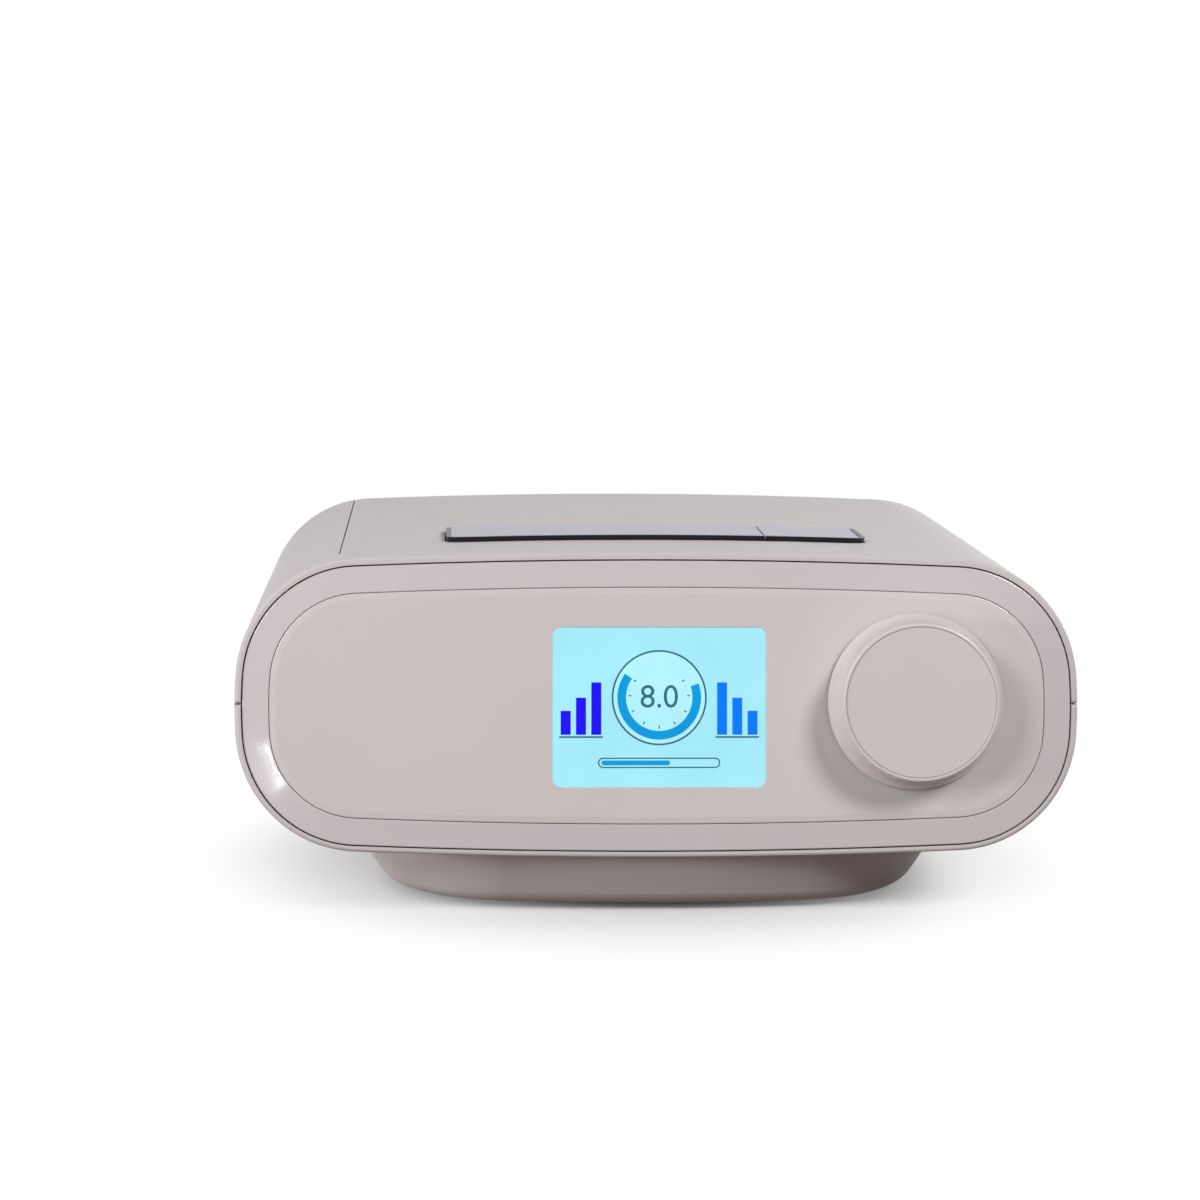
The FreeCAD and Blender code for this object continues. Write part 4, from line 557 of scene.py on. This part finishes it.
def draw_bars(picture):
    for side, colour in ((-1, VIOLET), (1, AZURE)):
        for i, tall in enumerate(BAR_HEIGHTS):
            x = side * (BAR_FIRST - i * BAR_STEP)
            picture.box(x - BAR_HALF, BAR_FOOT, x + BAR_HALF, BAR_FOOT + tall, PLATE, colour)
        x0, x1 = sorted(side * end for end in AXIS_ENDS)
        picture.box(x0, AXIS_FOOT, x1, AXIS_TOP, PLATE, INK)


def screen_picture():
    """A plain settings page: a round gauge between two bar charts, over a progress track."""
    picture = Picture()
    half_w, half_h = WINDOW_HALF_X / MM, WINDOW_HALF_UP / MM
    picture.shape(round_points(-half_w, -half_h, half_w, half_h, WINDOW_CORNER), GROUND, SKY)
    draw_gauge(picture)
    draw_bars(picture)
    picture.outline(*TRACK, TRACK_CORNER, TRACK_LINE, PLATE, INK)
    picture.shape(round_points(*PROGRESS, PROGRESS_CORNER), MARK, BLUE)
    picture.finish("screen_picture")


def screen_number():
    """The gauge's reading, in plain figures."""
    curve = bpy.data.curves.new("screen_number", "FONT")
    curve.body, curve.size = READING, READING_SIZE
    curve.align_x, curve.align_y = "CENTER", "CENTER"
    text = add(bpy.data.objects.new("screen_number_text", curve))
    data = finished_mesh(text)
    bpy.data.objects.remove(text)
    data.transform(placed(on_window(0, GAUGE_UP, FIGURES), ACROSS, UPWARD, OUTWARD))
    dress(data, SCREEN_MATERIALS[INK])
    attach(add(bpy.data.objects.new("screen_number", data)), "root")


screen_picture()
screen_number()


# ---------------------------------------------------------------- stage and light
# what the floor throws back at the part, and the paper that is seen
FLOOR_BOUNCE = (0.2, 0.15, 0.135, 1.0)
FLOOR_SEEN = (0.97, 0.97, 0.97, 1.0)
PAPER_GRAIN, PAPER_SHADE = 0.6 * MM, 0.985
FLOOR_RADIUS, FLOOR_SIDES = 6.0, 96
# between these distances from the middle, the paper with its shadow turns to plain white
SHADOW_FADE = (0.045, 0.115)
AMBIENT, AMBIENT_COLOUR = 0.09, (0.97, 0.98, 1.0, 1.0)


def light_path(tree):
    """1 where the camera, gloss or glass looks straight at a surface."""
    path = tree.nodes.new("ShaderNodeLightPath")
    value = path.outputs["Is Camera Ray"]
    for name in ("Is Glossy Ray", "Is Transmission Ray"):
        most = tree.nodes.new("ShaderNodeMath")
        most.operation = "MAXIMUM"
        tree.links.new(value, most.inputs[0])
        tree.links.new(path.outputs[name], most.inputs[1])
        value = most.outputs[0]
    return value


def make_floor():
    g = Graph("floor")
    bounce = g.node("BsdfDiffuse", {"Color": FLOOR_BOUNCE}).outputs[0]
    grain = g.noise(PAPER_GRAIN, detail=3.0)
    paper_colour = g.blend(grain, FLOOR_SEEN, shade(FLOOR_SEEN, PAPER_SHADE))
    paper = g.node("BsdfDiffuse", {"Color": paper_colour}).outputs[0]
    away = g.node("VectorMath", {0: g.place}, operation="LENGTH").outputs["Value"]
    near_end, far_end = SHADOW_FADE
    far = g.node("MapRange", {"Value": away, "From Min": near_end, "From Max": far_end},
                 interpolation_type="SMOOTHSTEP").outputs["Result"]
    seen = g.mix(far, paper, g.emission(WHITE))
    mesh = bmesh.new()
    bmesh.ops.create_circle(mesh, cap_ends=True, segments=FLOOR_SIDES, radius=FLOOR_RADIUS)
    data = mesh_data("floor", mesh)
    dress(data, g.shown(g.mix(light_path(g.tree), bounce, seen)))
    add(bpy.data.objects.new("floor", data))


def make_world():
    """A dim sky that lights the part, and shows as plain white."""
    world = bpy.data.worlds.new("world")
    world.use_nodes = True
    tree = world.node_tree
    tree.nodes.clear()
    dim, white = (tree.nodes.new("ShaderNodeBackground") for _ in range(2))
    dim.inputs["Color"].default_value = AMBIENT_COLOUR
    dim.inputs["Strength"].default_value = AMBIENT
    white.inputs["Color"].default_value = WHITE
    mix = tree.nodes.new("ShaderNodeMixShader")
    out = tree.nodes.new("ShaderNodeOutputWorld")
    tree.links.new(light_path(tree), mix.inputs[0])
    tree.links.new(dim.outputs[0], mix.inputs[1])
    tree.links.new(white.outputs[0], mix.inputs[2])
    tree.links.new(mix.outputs[0], out.inputs["Surface"])
    SCENE.world = world


# name, the way to the lamp from the part, distance, width, height, level, colour
LAMPS = (
    ("key", (0.49, -0.60, 0.57), 1.3, 0.35, 0.35, 0.54, (1.0, 0.975, 0.975)),
    ("side", (-0.96, -0.23, 0.04), 1.1, 0.3, 0.1, 0.46, (1.0, 0.98, 0.96)),
    ("fill", (-0.62, -0.66, 0.42), 1.3, 0.4, 0.4, 0.34, (0.97, 0.98, 1.0)),
    ("back", (0.63, 0.54, 0.54), 1.4, 0.8, 0.5, 0.38, (0.97, 0.99, 1.0)),
)
LAMPS_AIM = Vector((0.0, -0.03, 0.05))
# seen from the right, the whole front would mirror this low lamp
NOT_IN_GLOSS = "side"
# the thin lamp whose streak lies on the ring's lower left: its two ends, and where it shows
STREAK_TOP, STREAK_FOOT = Vector((-0.1475, -0.2583, 0.051)), Vector((-0.1345, -0.262, 0.0175))
STREAK_ON = Vector((-0.0873, -0.0682, 0.0365))
STREAK_WIDTH, STREAK_LEVEL, STREAK_COLOUR = 3.2 * MM, 0.028, (1.0, 1.0, 1.0)


def lamp(name, aim, way, distance, width, height, level, colour, upward):
    """An area lamp that gives a surface facing it the stated share of full brightness."""
    data = bpy.data.lights.new(name, "AREA")
    data.shape = "RECTANGLE"
    data.size, data.size_y = width, height
    data.energy = level * (math.pi * distance) ** 2
    data.color = colour
    obj = add(bpy.data.objects.new(name, data))
    side = upward.cross(way).normalized()
    obj.matrix_world = placed(aim + way * distance, side, way.cross(side), way)
    obj.visible_camera = False
    return obj


def make_lamps():
    for name, way, *rest in LAMPS:
        made = lamp(name, LAMPS_AIM, Vector(way).normalized(), *rest, UP)
        made.visible_glossy = name != NOT_IN_GLOSS


def make_streak():
    """The thin lamp. It lights the ring alone, because the flat panel would mirror it as a bar."""
    way = (STREAK_TOP + STREAK_FOOT) / 2 - STREAK_ON
    along = STREAK_TOP - STREAK_FOOT
    streak = lamp("streak", STREAK_ON, way.normalized(), way.length, STREAK_WIDTH, along.length,
                  STREAK_LEVEL, STREAK_COLOUR, along.normalized())
    lit = bpy.data.collections.new("lit_by_streak")
    lit.objects.link(NODES["front_bezel"])
    streak.light_linking.receiver_collection = lit


make_floor()
make_world()
make_lamps()
make_streak()
SCENE.view_settings.view_transform = "Standard"
